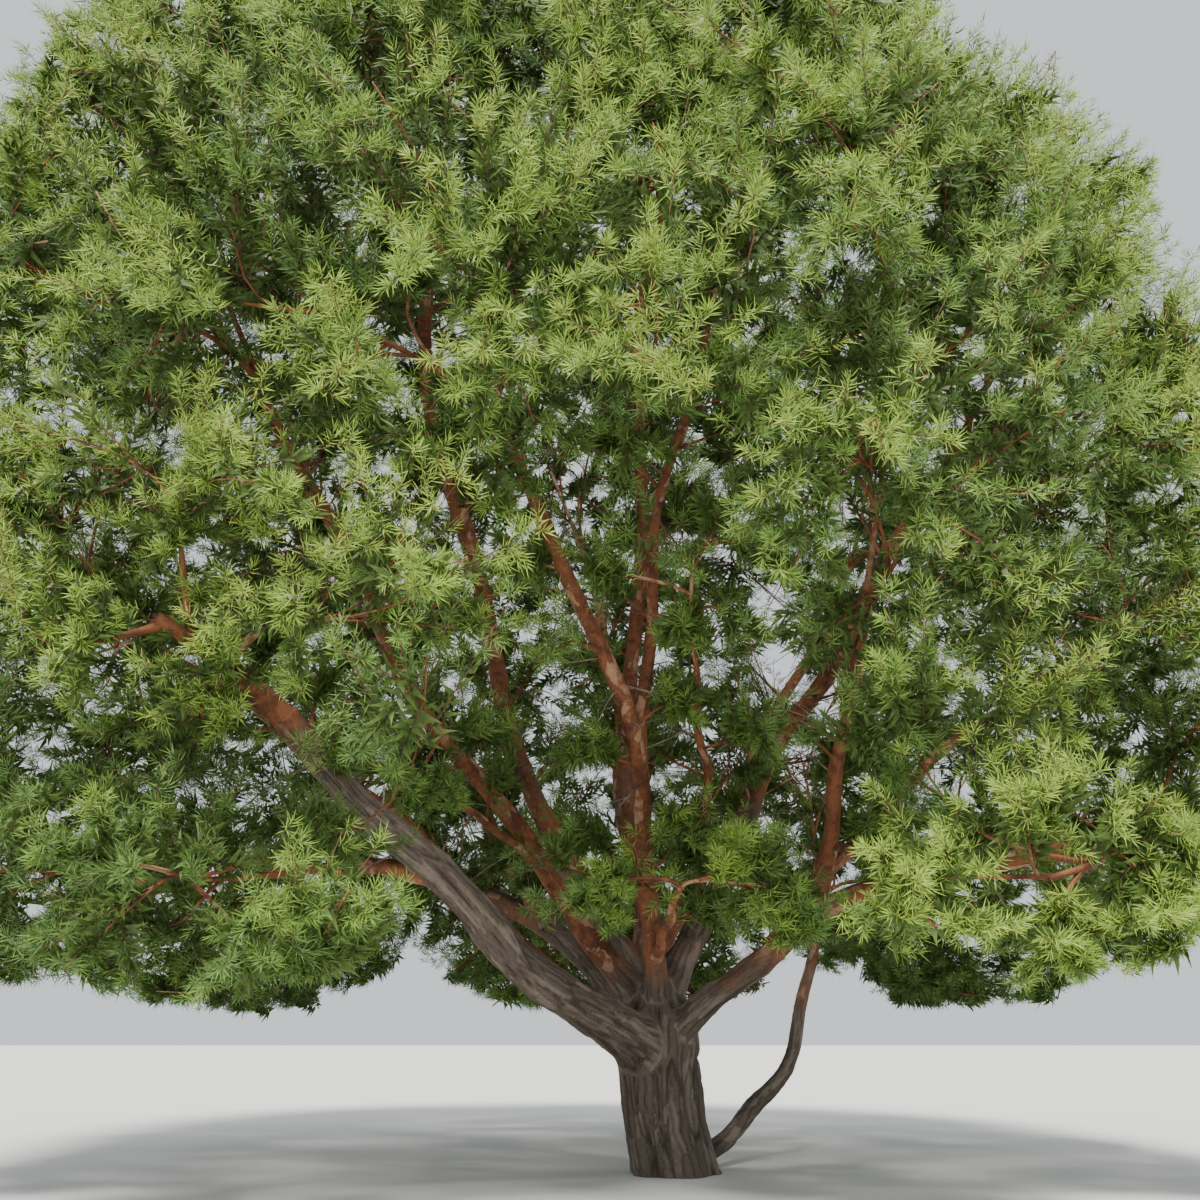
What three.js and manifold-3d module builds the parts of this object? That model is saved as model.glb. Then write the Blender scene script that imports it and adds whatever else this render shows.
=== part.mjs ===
// Scots pine: a short, thick, leaning trunk that forks low into spreading limbs, under a broad
// dome of needle masses. Millimetres, +Z up, origin in the middle of the flat cut at the ground.
// Bearings are degrees from +X round towards +Y, so the side that faces the viewer is at 270.

import * as THREE from 'three';
import { mergeVertices } from 'three/addons/utils/BufferGeometryUtils.js';
import Module from 'manifold-3d';

const wasm = await Module();
wasm.setup();

// Clear space that pieces keep from each other
const GAP = 0.3;
const SPACE_MARGIN = 4;
const LIMB_MARGIN = 12;
const SAME_POINT = 0.001;

// Trunk: rows of height and radius, a lean to the left that eases off, and ribs that fade upwards
const TRUNK_ROWS = [[0, 520], [150, 500], [500, 482], [1000, 478], [1400, 500], [1750, 455], [2050, 300]];
const TRUNK_HEIGHT = 2050;
const TRUNK_SIDES = 15;
const LEAN_REACH = 220;
const LEAN_HEIGHT = 750;
const RIBS = 5;
const RIB_DEPTH = 0.035;
const FLARE_DEPTH = 0.03;
const FLARE_HEIGHT = 300;

// Crown: the masses stand round an axis a little to the left of the trunk's foot
const CROWN_X = -900;
const CROWN_Y = 0;

// Each tier of masses: its height, twigs a mass, and half sizes along the rim, outwards and up, then
// for each mass its bearing, reach from the crown's axis, lift above the tier and size against it
const TIERS = {
  low: {
    height: 3000,
    twigs: 5,
    half: [2050, 1750, 1350],
    masses: [
      [234, 5900, -150, 0.95], [204, 6500, 200, 1.05], [305, 6250, -250, 0.8], [338, 6400, 700, 1.0],
      [30, 6200, 400, 1.35], [90, 6200, 400, 1.4], [150, 6300, 400, 1.4],
    ],
  },
  middle: {
    height: 6100,
    twigs: 5,
    half: [2050, 1750, 1600],
    masses: [
      [231, 6150, -950, 0.85], [200, 6700, 1100, 1.0], [305, 5500, 300, 0.95], [333, 6300, 0, 1.05],
      [2, 6400, 200, 1.15], [58, 6400, 200, 1.3], [118, 6400, 200, 1.3], [172, 6600, 200, 1.2],
    ],
  },
  high: {
    height: 8900,
    twigs: 5,
    half: [2150, 1800, 1650],
    masses: [
      [213, 6500, 500, 1.0], [241, 5700, -600, 1.0], [272, 5500, -900, 0.95], [301, 5700, -300, 1.0],
      [335, 6000, 0, 1.0], [22, 6400, 300, 1.25], [85, 6400, 300, 1.35], [148, 6400, 300, 1.35],
    ],
  },
  upper: {
    height: 11800,
    twigs: 5,
    half: [2250, 1900, 1700],
    masses: [
      [210, 6500, 900, 0.85], [243, 4900, -100, 1.0], [280, 4700, -200, 1.0], [311, 4600, 400, 0.95],
      [335, 6100, -400, 0.85], [38, 5400, 300, 1.25], [100, 5400, 300, 1.25], [160, 5400, 300, 1.25],
    ],
  },
  top: {
    height: 14500,
    twigs: 5,
    half: [2500, 2100, 1800],
    masses: [[330, 2300, 0, 1.0], [90, 2300, 0, 1.05], [210, 2500, 0, 1.0]],
  },
  inner: {
    height: 3000,
    twigs: 3,
    half: [1000, 800, 750],
    masses: [[268, 2600, 50, 1.0], [283, 4100, 3000, 1.2], [232, 3300, 1300, 1.05], [300, 3450, -80, 1.0]],
  },
};

// Each limb: what carries it and how far along, the masses at its tip, the radius of its foot,
// and how far its middle bows sideways and upwards, as shares of its length
const LIMBS = [
  ['west_limb', 'trunk', 0.62, ['middle_1'], 310, -0.03, -0.05],
  ['north_west_limb', 'trunk', 0.84, ['high_1', 'upper_1'], 150, 0.02, -0.03],
  ['rear_limb', 'trunk', 0.86, ['upper_2', 'top_3'], 170, 0.12, 0.0],
  ['leader_limb', 'trunk', 0.86, ['top_1', 'top_2'], 160, -0.03, 0.0],
  ['front_limb', 'trunk', 0.8, ['high_2', 'high_3'], 150, -0.06, 0.03],
  ['north_east_limb', 'trunk', 0.78, ['high_5', 'upper_5'], 190, -0.05, 0.05],
  ['east_limb', 'trunk', 0.62, ['low_3', 'low_4'], 190, 0.0, 0.1],
  ['low_east_limb', 'trunk', 0.05, ['low_5', 'middle_6'], 115, 0.0, -0.18],
  ['back_west_limb', 'trunk', 0.76, ['low_7', 'middle_7'], 200, 0.0, 0.05],
  ['back_limb', 'trunk', 0.82, ['high_7', 'upper_7'], 190, 0.0, 0.03],
  ['back_east_limb', 'trunk', 0.74, ['low_6'], 200, 0.0, 0.05],
  ['west_low_bough', 'west_limb', 0.62, ['low_1', 'low_2'], 120, 0.0, 0.05],
  ['west_far_bough', 'west_limb', 0.3, ['middle_2', 'middle_8'], 140, 0.0, 0.04],
  ['west_inner_bough', 'north_west_limb', 0.2, ['inner_3'], 75, 0.0, 0.05],
  ['front_inner_bough', 'front_limb', 0.12, ['inner_1', 'inner_4'], 80, 0.0, 0.0],
  ['front_red_bough', 'front_limb', 0.45, ['upper_3', 'upper_4'], 90, 0.05, 0.0],
  ['east_inner_bough', 'north_east_limb', 0.22, ['inner_2'], 75, 0.0, 0.0],
  ['east_red_bough', 'east_limb', 0.48, ['middle_3', 'high_4'], 130, 0.0, 0.0],
  ['east_far_bough', 'east_limb', 0.36, ['middle_4', 'middle_5'], 120, 0.0, 0.05],
  ['back_east_high_bough', 'back_east_limb', 0.25, ['high_6', 'upper_6'], 130, 0.0, 0.0],
  ['back_west_high_bough', 'back_west_limb', 0.3, ['high_8', 'upper_8'], 130, 0.0, 0.0],
];
const LIMB_SIDES = 7;
const BOUGH_SIDES = 6;
const BOUGH_BELOW = 145;
const LIMB_RINGS = 6;
const LIMB_TAPER = 0.5;
const COLLAR = 0.25;
const COLLAR_REACH = 0.1;
const WANDER = 0.012;
const WANDER_TURNS = 1.5;
const UPRIGHT = 0.2;
const TANGENT_STEP = 0.01;
const TAPER_POWER = 0.85;
const TIP_DEPTH = 0.9;
const TIP_FIRST = 0.3;
const TIP_STEP = 0.005;

// Twigs and sprays of each mass
const STEM_SIDES = 4;
const STEM_RINGS = 3;
const STEM_SHARE = 0.72;
const STEM_TAPER = 0.4;
const STEM_BEND = 0.35;
const TWIN_SHARE = 0.62;
const TWIN_OFFSET = 1.1;
const HEART_OUT = 0.2;
const AIM_KEY = 50;
const STEEP_AIM = 0.9;
const TWIG_SIDES = 3;
const TWIG_FIRST = 0.4;
const TWIG_LAST = 0.95;
const TWIG_SHARE = 0.75;
const TWIG_TIP = 22;
const TWIG_REACH = 0.52;
const SPRAY_SHARES = [1, 0.7];
const SPRAY_SPLAYS = [1.6, 1.6, 1.6, 0.8, 0.8, 0.8];
const SPRAY_SINK = 0.35;
const TIP_SINK = 22;
const SPRAY_LENGTH = 1850;
const SPRAY_SHORTEST = 500;
const SPRAY_REACH = 0.985;
const SPRAY_THICKNESS = 0.022;
const SPRAY_SWELL = 0.4;
const SPRAY_OUTLINE = [[0, 0], [0.76, 0.36], [0.52, 0.11], [1, 0], [0.52, -0.11], [0.76, -0.36]];
const GOLDEN_ANGLE = Math.PI * (3 - Math.sqrt(5));

// Materials
const BARK_GREY = new THREE.MeshStandardMaterial({ color: 0x75685c, roughness: 0.95, metalness: 0 });
const BARK_ORANGE = new THREE.MeshStandardMaterial({ color: 0x9a5a38, roughness: 0.9, metalness: 0 });
const NEEDLES = new THREE.MeshStandardMaterial({ color: 0x55702f, roughness: 0.7, metalness: 0 });

const UP = new THREE.Vector3(0, 0, 1);

// A number from 0 to 1 that depends only on its whole-number keys
function chance(...keys) {
  let hash = 2166136261;
  for (const key of keys) {
    hash = Math.imul(hash ^ key, 16777619);
    hash = Math.imul(hash ^ (hash >>> 15), 2246822507);
    hash ^= hash >>> 13;
  }
  return (hash >>> 0) / 4294967296;
}

// Point at a bearing and reach from the crown's axis, at a height
function onBearing(bearing, reach, height) {
  const angle = THREE.MathUtils.degToRad(bearing);
  return new THREE.Vector3(CROWN_X + reach * Math.cos(angle), CROWN_Y + reach * Math.sin(angle), height);
}

// A closed solid from vertices and triangles, with points that coincide made one
function solidOf(vertices, triangles) {
  const geometry = new THREE.BufferGeometry();
  geometry.setAttribute('position', new THREE.Float32BufferAttribute(vertices.flat(), 3));
  geometry.setIndex(triangles.flat());
  const merged = mergeVertices(geometry, SAME_POINT);
  return new wasm.Manifold(new wasm.Mesh({
    numProp: 3,
    vertProperties: new Float32Array(merged.attributes.position.array),
    triVerts: new Uint32Array(merged.index.array),
  }));
}

// The largest body of a solid: loose scraps are dropped and sealed hollows filled
function largestBody(solid) {
  const bodies = solid.decompose();
  bodies.sort((a, b) => b.volume() - a.volume());
  return bodies[0];
}

// Loft through rings of equal count, closed by a flat face at each end
function loft(rings) {
  const count = rings[0].length;
  const vertices = rings.flat().map((point) => point.toArray());
  const triangles = [];
  for (let ring = 0; ring < rings.length - 1; ring += 1) {
    for (let side = 0; side < count; side += 1) {
      const next = (side + 1) % count;
      const a = ring * count + side;
      const b = ring * count + next;
      triangles.push([a, b, b + count], [a, b + count, a + count]);
    }
  }
  const last = (rings.length - 1) * count;
  for (let side = 1; side < count - 1; side += 1) {
    triangles.push([0, side + 1, side], [last, last + side, last + side + 1]);
  }
  return solidOf(vertices, triangles);
}

// Ring of points round a centre, square to a direction, with its first point towards a reference
function ringAt(centre, along, reference, radius, sides) {
  const right = reference.clone().addScaledVector(along, -reference.dot(along)).normalize();
  const ahead = new THREE.Vector3().crossVectors(along, right);
  const ring = [];
  for (let side = 0; side < sides; side += 1) {
    const angle = (2 * Math.PI * side) / sides;
    const point = centre.clone().addScaledVector(right, radius * Math.cos(angle));
    ring.push(point.addScaledVector(ahead, radius * Math.sin(angle)));
  }
  return ring;
}

// Tapering tube along a curve; grown makes it that much thicker and longer
function tube(curve, reference, radiusAt, rings, sides, grown = 0) {
  const sections = [];
  for (let index = 0; index < rings; index += 1) {
    const share = index / (rings - 1);
    const along = curve.tangent(share);
    const centre = curve.point(share);
    if (index === 0) centre.addScaledVector(along, -grown);
    if (index === rings - 1) centre.addScaledVector(along, grown);
    sections.push(ringAt(centre, along, reference, radiusAt(share) + grown, sides));
  }
  return loft(sections);
}

// Trunk
function trunkAxis(height) {
  return new THREE.Vector3(-LEAN_REACH * (1 - Math.exp(-height / LEAN_HEIGHT)), 0, height);
}

function trunkSolid(grown = 0) {
  const rings = TRUNK_ROWS.map(([height, radius], row) => {
    const depth = RIB_DEPTH + FLARE_DEPTH * Math.exp(-height / FLARE_HEIGHT);
    const level = row === TRUNK_ROWS.length - 1 ? height + grown : height;
    const centre = trunkAxis(level);
    const ring = [];
    for (let side = 0; side < TRUNK_SIDES; side += 1) {
      const angle = (2 * Math.PI * side) / TRUNK_SIDES;
      const reach = radius * (1 + depth * Math.cos(RIBS * angle)) + grown;
      const point = new THREE.Vector3(reach * Math.cos(angle), reach * Math.sin(angle), 0);
      ring.push(point.add(centre));
    }
    return ring;
  });
  return loft(rings);
}

// Spaces of the masses
function buildMasses() {
  const masses = [];
  for (const [tier, { height, twigs, half, masses: rows }] of Object.entries(TIERS)) {
    rows.forEach(([bearing, reach, lift, size], row) => {
      const angle = THREE.MathUtils.degToRad(bearing);
      masses.push({
        name: `${tier}_${row + 1}`,
        key: masses.length + 1,
        twigs,
        centre: onBearing(bearing, reach, height + lift),
        axes: [
          new THREE.Vector3(-Math.sin(angle), Math.cos(angle), 0),
          new THREE.Vector3(Math.cos(angle), Math.sin(angle), 0),
          UP.clone(),
        ],
        half: half.map((value) => value * size),
        planes: [],
      });
    });
  }
  for (const mass of masses) {
    for (const other of masses) {
      const between = other.centre.clone().sub(mass.centre);
      const distance = between.length();
      if (mass === other || distance > Math.max(...mass.half) + Math.max(...other.half)) continue;
      between.normalize();
      const own = radiusAlong(mass, between);
      const share = own / (own + radiusAlong(other, between));
      mass.planes.push({ normal: between, offset: between.dot(mass.centre) + share * distance });
    }
  }
  return masses;
}

// How far a mass's ellipsoid reaches from its centre in a direction
function radiusAlong(mass, direction) {
  const parts = mass.axes.map((axis, index) => direction.dot(axis) / mass.half[index]);
  return 1 / Math.hypot(...parts);
}

// How deep a point lies in a mass's ellipsoid: 0 at the centre and 1 on the surface
function depthIn(mass, point) {
  const offset = point.clone().sub(mass.centre);
  return Math.hypot(...mass.axes.map((axis, index) => offset.dot(axis) / mass.half[index]));
}

// Whether every point lies in the mass's own space
function keepsTo(mass, points) {
  return points.every((point) => depthIn(mass, point) <= 1
    && mass.planes.every(({ normal, offset }) => normal.dot(point) < offset - SPACE_MARGIN));
}

// How far a ray can run before it leaves the mass's own space
function reachWithin(mass, from, direction) {
  const offset = from.clone().sub(mass.centre);
  const start = mass.axes.map((axis, index) => offset.dot(axis) / mass.half[index]);
  const step = mass.axes.map((axis, index) => direction.dot(axis) / mass.half[index]);
  const dot = (a, b) => a[0] * b[0] + a[1] * b[1] + a[2] * b[2];
  const bend = dot(start, step) ** 2 - dot(step, step) * (dot(start, start) - 1);
  if (bend <= 0) return 0;
  let reach = (Math.sqrt(bend) - dot(start, step)) / dot(step, step);
  for (const { normal, offset: level } of mass.planes) {
    const speed = normal.dot(direction);
    if (speed > 0) reach = Math.min(reach, (level - SPACE_MARGIN - normal.dot(from)) / speed);
  }
  return Math.max(reach, 0);
}

// Curve of a limb: a bowed line with a slow seeded wander that dies out at both ends
function limbCurve(start, tip, sideBow, upBow, key) {
  const span = tip.clone().sub(start);
  const length = span.length();
  const side = new THREE.Vector3().crossVectors(span, UP);
  if (side.length() < UPRIGHT * length) side.set(1, 0, 0);
  side.normalize();
  const lift = new THREE.Vector3().crossVectors(side, span).normalize();
  const phase = 2 * Math.PI * chance(key, 1);
  const turns = WANDER_TURNS + chance(key, 2);
  const point = (share) => {
    const arch = 4 * share * (1 - share);
    const wave = WANDER * length * Math.sin(Math.PI * share);
    const angle = phase + 2 * Math.PI * turns * share;
    return start.clone()
      .addScaledVector(span, share)
      .addScaledVector(side, arch * sideBow * length + wave * Math.cos(angle))
      .addScaledVector(lift, arch * upBow * length + wave * Math.sin(angle));
  };
  const tangent = (share) => {
    const before = point(Math.max(share - TANGENT_STEP, 0));
    return point(Math.min(share + TANGENT_STEP, 1)).sub(before).normalize();
  };
  return { point, tangent, side, length };
}

// Place where a limb enters the masses it feeds, on its way from its foot to their middle
function entryPoint(start, fed) {
  const target = fed[0].centre.clone();
  if (fed.length === 2) {
    const between = fed[1].centre.clone().sub(fed[0].centre);
    const direction = between.clone().normalize();
    const own = radiusAlong(fed[0], direction);
    target.addScaledVector(between, own / (own + radiusAlong(fed[1], direction)));
  }
  for (let share = TIP_FIRST; share < 1; share += TIP_STEP) {
    const point = start.clone().lerp(target, share);
    if (fed.some((mass) => depthIn(mass, point) < TIP_DEPTH)) return point;
  }
  return target;
}

function buildLimbs(masses) {
  const limbs = [];
  const taken = [trunkSolid(GAP)];
  LIMBS.forEach(([name, parent, at, feeds, radius, sideBow, upBow], row) => {
    const fed = feeds.map((mass) => masses.find((item) => item.name === mass));
    const carrier = limbs.find((limb) => limb.name === parent);
    const start = carrier ? carrier.curve.point(at) : trunkAxis(at * TRUNK_HEIGHT);
    const tip = entryPoint(start, fed);
    const curve = limbCurve(start, tip, sideBow, upBow, row + 1);
    const radiusAt = (share) => radius * (1 - (1 - LIMB_TAPER) * share ** TAPER_POWER)
      * (1 + COLLAR * Math.max(0, 1 - share / COLLAR_REACH));
    const sides = radius < BOUGH_BELOW ? BOUGH_SIDES : LIMB_SIDES;
    let solid = tube(curve, curve.side, radiusAt, LIMB_RINGS, sides);
    for (const other of taken) solid = solid.subtract(other);
    solid = largestBody(solid);
    taken.push(tube(curve, curve.side, radiusAt, LIMB_RINGS, sides, GAP));
    limbs.push({ name, curve, radiusAt, fed, solid, radius, sides });
  });
  return limbs;
}

// Spray of needles: a toothed blade, thickest at its heart and sharp all round
function spray(root, along, across, length) {
  const facing = new THREE.Vector3().crossVectors(along, across).normalize();
  const side = new THREE.Vector3().crossVectors(facing, along);
  const place = (x, y, z) => root.clone()
    .addScaledVector(along, x * length)
    .addScaledVector(side, y * length)
    .addScaledVector(facing, z * length);
  const rim = SPRAY_OUTLINE.map(([x, y]) => place(x, y, 0));
  const points = [...rim, place(SPRAY_SWELL, 0, SPRAY_THICKNESS), place(SPRAY_SWELL, 0, -SPRAY_THICKNESS)];
  const count = rim.length;
  const triangles = [];
  for (let index = 0; index < count; index += 1) {
    const next = (index + 1) % count;
    triangles.push([next, index, count], [index, next, count + 1]);
  }
  return { points, solid: solidOf(points.map((point) => point.toArray()), triangles) };
}

// Stem of a mass: it goes on from the limb's tip, beside its twin where the limb feeds two masses,
// and curves to the outer half of the mass
function stemOf(mass, limb, slot) {
  const along = limb.curve.tangent(1);
  const root = limb.curve.point(1).addScaledVector(along, GAP);
  let radius = limb.radiusAt(1) * STEM_SHARE;
  if (limb.fed.length === 2) {
    const apart = mass.centre.clone().sub(limb.fed[1 - slot].centre);
    apart.addScaledVector(along, -apart.dot(along)).normalize();
    radius *= TWIN_SHARE;
    root.addScaledVector(apart, TWIN_OFFSET * radius);
  }
  const heart = mass.centre.clone().addScaledVector(mass.axes[1], HEART_OUT * mass.half[1]);
  const bend = root.clone().addScaledVector(along, STEM_BEND * root.distanceTo(heart));
  const path = new THREE.QuadraticBezierCurve3(root, bend, heart);
  const knots = path.getPoints(STEM_RINGS - 1);
  return {
    point: (share) => {
      const knot = Math.min(Math.floor(share * (STEM_RINGS - 1)), STEM_RINGS - 2);
      return knots[knot].clone().lerp(knots[knot + 1], share * (STEM_RINGS - 1) - knot);
    },
    tangent: (share) => path.getTangent(share),
    radiusAt: (share) => radius * (1 - STEM_TAPER * share),
    reference: limb.curve.side,
  };
}

function stemTube(stem, grown = 0) {
  return tube(stem, stem.reference, stem.radiusAt, STEM_RINGS, STEM_SIDES, grown);
}

// Directions from a mass's centre, evenly spread over its surface, and listed from those that point
// back along the stem to those that point ahead
function spreadAims(mass, stem) {
  const count = mass.twigs;
  const start = 2 * Math.PI * chance(mass.key, AIM_KEY);
  const aims = [];
  for (let index = 0; index < count; index += 1) {
    const level = 1 - (2 * index + 1) / count;
    const turn = start + GOLDEN_ANGLE * index;
    const flat = Math.sqrt(1 - level * level);
    const weights = [flat * Math.cos(turn), flat * Math.sin(turn), level];
    const aim = new THREE.Vector3();
    mass.axes.forEach((axis, row) => aim.addScaledVector(axis, weights[row] * mass.half[row]));
    aims.push(aim.normalize());
  }
  const ahead = stem.tangent(1);
  return aims.sort((a, b) => a.dot(ahead) - b.dot(ahead));
}

// Twig from the stem towards an aim; its rank, from 0 to 1, sets how far along the stem it leaves
function twigTowards(mass, stem, aim, rank) {
  const place = TWIG_FIRST + (TWIG_LAST - TWIG_FIRST) * rank;
  const from = stem.point(place);
  const foot = Math.max(TWIG_SHARE * stem.radiusAt(place), TWIG_TIP);
  const span = mass.centre.clone()
    .addScaledVector(aim, TWIG_REACH * reachWithin(mass, mass.centre, aim))
    .sub(from);
  const along = span.clone().normalize();
  const right = new THREE.Vector3().crossVectors(span, steadyAxis(mass, aim)).normalize();
  return {
    point: (share) => from.clone().addScaledVector(span, share),
    tangent: () => along.clone(),
    radiusAt: (share) => foot + (TWIG_TIP - foot) * share,
    reference: right,
  };
}

// Upright, or the mass's rim direction where the aim is nearly upright itself
function steadyAxis(mass, aim) {
  return Math.abs(aim.z) > STEEP_AIM ? mass.axes[0] : UP;
}

// Foot and direction of a twig's spray: the first goes on from the twig's end, and the others leave
// square out of one of its three sides and bend forwards
function sprayPlace(twig, share, leaf, side, splay) {
  const along = twig.tangent(share);
  if (leaf === 0) {
    const foot = twig.point(1).addScaledVector(along, -TIP_SINK);
    return { foot, direction: along, outward: twig.reference };
  }
  const foot = twig.point(share);
  const ahead = new THREE.Vector3().crossVectors(along, twig.reference);
  const angle = (2 * Math.PI * (side + 0.5)) / TWIG_SIDES;
  const outward = twig.reference.clone().multiplyScalar(Math.cos(angle))
    .addScaledVector(ahead, Math.sin(angle));
  foot.addScaledVector(outward, -SPRAY_SINK * twig.radiusAt(share));
  const direction = along.clone().addScaledVector(outward, splay).normalize();
  return { foot, direction, outward };
}

// Needle mass: its stem, twigs to evenly spread aims, and at each twig's end and along its sides
// sprays that turn until they fit. What would leave the space, or touch a limb or another spray or
// twig, is skipped.
function massSolid({ mass, stem }, obstacle) {
  const stemWood = stemTube(stem);
  const pieces = [];
  const isClear = (solid, others) => solid.intersect(obstacle).isEmpty()
    && others.every((other) => solid.intersect(other).isEmpty());
  const twigs = [];
  spreadAims(mass, stem).forEach((aim, index) => {
    const twig = twigTowards(mass, stem, aim, index / (mass.twigs - 1));
    const wood = tube(twig, twig.reference, twig.radiusAt, 2, TWIG_SIDES);
    if (!keepsTo(mass, [twig.point(0.5), twig.point(1)]) || !isClear(wood, pieces)) return;
    pieces.push(wood);
    twigs.push({ twig, aim, wood });
  });
  twigs.forEach(({ twig, aim, wood }, index) => {
    const others = [stemWood, ...pieces.filter((piece) => piece !== wood)];
    SPRAY_SHARES.forEach((share, leaf) => {
      for (let attempt = 0; attempt < SPRAY_SPLAYS.length; attempt += 1) {
        const side = Math.floor(TWIG_SIDES * chance(mass.key, index, leaf)) + attempt;
        const { foot, direction, outward } = sprayPlace(twig, share, leaf, side, SPRAY_SPLAYS[attempt]);
        const across = leaf === 0 ? outward : new THREE.Vector3().crossVectors(direction, aim).normalize();
        const length = Math.min(SPRAY_LENGTH, SPRAY_REACH * reachWithin(mass, foot, direction));
        if (length < SPRAY_SHORTEST) continue;
        const { points, solid } = spray(foot, direction, across, length);
        if (keepsTo(mass, points) && isClear(solid, others)) {
          pieces.push(solid);
          others.push(solid);
          break;
        }
      }
    });
  });
  return largestBody(wasm.Manifold.union([stemWood, ...pieces]));
}

// Named mesh of a solid
function meshOf(name, solid, material) {
  const { vertProperties, triVerts } = solid.getMesh();
  const geometry = new THREE.BufferGeometry();
  geometry.setAttribute('position', new THREE.BufferAttribute(new Float32Array(vertProperties), 3));
  geometry.setIndex(new THREE.BufferAttribute(new Uint32Array(triVerts), 1));
  const faceted = geometry.toNonIndexed();
  faceted.computeVertexNormals();
  const mesh = new THREE.Mesh(faceted, material);
  mesh.name = name;
  return mesh;
}

// Whole tree: each mass keeps clear of the limbs and of the other masses' stems
const tree = new THREE.Group();
const masses = buildMasses();
const limbs = buildLimbs(masses);
const stems = limbs.flatMap((limb) => limb.fed.map((mass, slot) => (
  { mass, stem: stemOf(mass, limb, slot) }
)));
const wood = wasm.Manifold.union([
  trunkSolid(LIMB_MARGIN),
  ...limbs.map((limb) => tube(
    limb.curve, limb.curve.side, limb.radiusAt, LIMB_RINGS, limb.sides, LIMB_MARGIN,
  )),
]);
tree.add(meshOf('trunk', trunkSolid(), BARK_GREY));
for (const limb of limbs) tree.add(meshOf(limb.name, limb.solid, BARK_ORANGE));
for (const grown of stems) {
  const others = stems.filter((other) => other !== grown);
  const obstacle = wasm.Manifold.union([wood, ...others.map(({ stem }) => stemTube(stem, LIMB_MARGIN))]);
  tree.add(meshOf(`needles_${grown.mass.name}`, massSolid(grown, obstacle), NEEDLES));
}

export default tree;
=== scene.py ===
# %% [markdown]
# # A Scots pine, grown by rule
# An old Scots pine standing in the open: a short, thick trunk that leans and forks low, limbs that
# spread like the ribs of a fan, and a broad dome of needles over them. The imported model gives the
# frame, which is where the trunk stands, where each limb runs and the space that each mass of needles
# keeps to. This script grows the visible tree in that frame: bark with real relief, finer and finer
# twigs, and brushes of needles at their ends.

import bmesh
import bpy
import numpy as np
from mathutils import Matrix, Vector


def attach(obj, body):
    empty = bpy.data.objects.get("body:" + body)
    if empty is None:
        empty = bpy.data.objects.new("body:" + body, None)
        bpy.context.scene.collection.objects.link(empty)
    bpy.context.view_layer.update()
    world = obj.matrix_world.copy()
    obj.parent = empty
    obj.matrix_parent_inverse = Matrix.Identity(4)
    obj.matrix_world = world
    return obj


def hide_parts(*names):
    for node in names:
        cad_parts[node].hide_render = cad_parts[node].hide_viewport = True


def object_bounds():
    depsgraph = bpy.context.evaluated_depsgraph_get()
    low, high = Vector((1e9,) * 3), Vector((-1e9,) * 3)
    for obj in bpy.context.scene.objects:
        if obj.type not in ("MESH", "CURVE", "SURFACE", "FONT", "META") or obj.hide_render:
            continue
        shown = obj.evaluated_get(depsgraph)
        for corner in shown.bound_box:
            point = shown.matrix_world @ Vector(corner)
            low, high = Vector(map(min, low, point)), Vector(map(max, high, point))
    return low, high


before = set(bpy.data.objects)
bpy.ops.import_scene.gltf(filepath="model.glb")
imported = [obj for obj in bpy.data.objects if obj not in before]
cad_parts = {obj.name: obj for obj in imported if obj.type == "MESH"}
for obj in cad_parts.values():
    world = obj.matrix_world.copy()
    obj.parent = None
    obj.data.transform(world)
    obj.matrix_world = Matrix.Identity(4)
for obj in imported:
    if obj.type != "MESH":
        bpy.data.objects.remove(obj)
cad_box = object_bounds()
print("the solids reach from", [round(v, 2) for v in cad_box[0]], "to", [round(v, 2) for v in cad_box[1]])

# %% [markdown]
# ## The driving sizes
# The solids were worked out from a few rows of sizes. The same rows are repeated here, in metres, so
# that the limbs and the spaces of the masses come out in the same places. A trunk row is a height and
# a radius. A mass row is a bearing round the crown's axis, a reach from it, a lift above its tier and a
# size against the tier's. A limb row says what carries it, how far along, which masses it feeds, the
# radius of its foot, and how far its middle bows sideways and upwards.

# %% Sizes of the trunk, the masses and the limbs
GAP = 0.0003
SPACE_MARGIN = 0.004
TRUNK_ROWS = np.array([
    [0, 0.52], [0.15, 0.5], [0.5, 0.482], [1.0, 0.478], [1.4, 0.5], [1.75, 0.455], [2.05, 0.3],
])
TRUNK_HEIGHT = 2.05
LEAN_REACH = 0.22
LEAN_HEIGHT = 0.75
RIBS = 5
RIB_DEPTH = 0.035
FLARE_DEPTH = 0.03
FLARE_HEIGHT = 0.3
CROWN_AXIS = np.array([-0.9, 0.0, 0.0])
EYE = np.array([-0.87, -15.5, 1.55])

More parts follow.
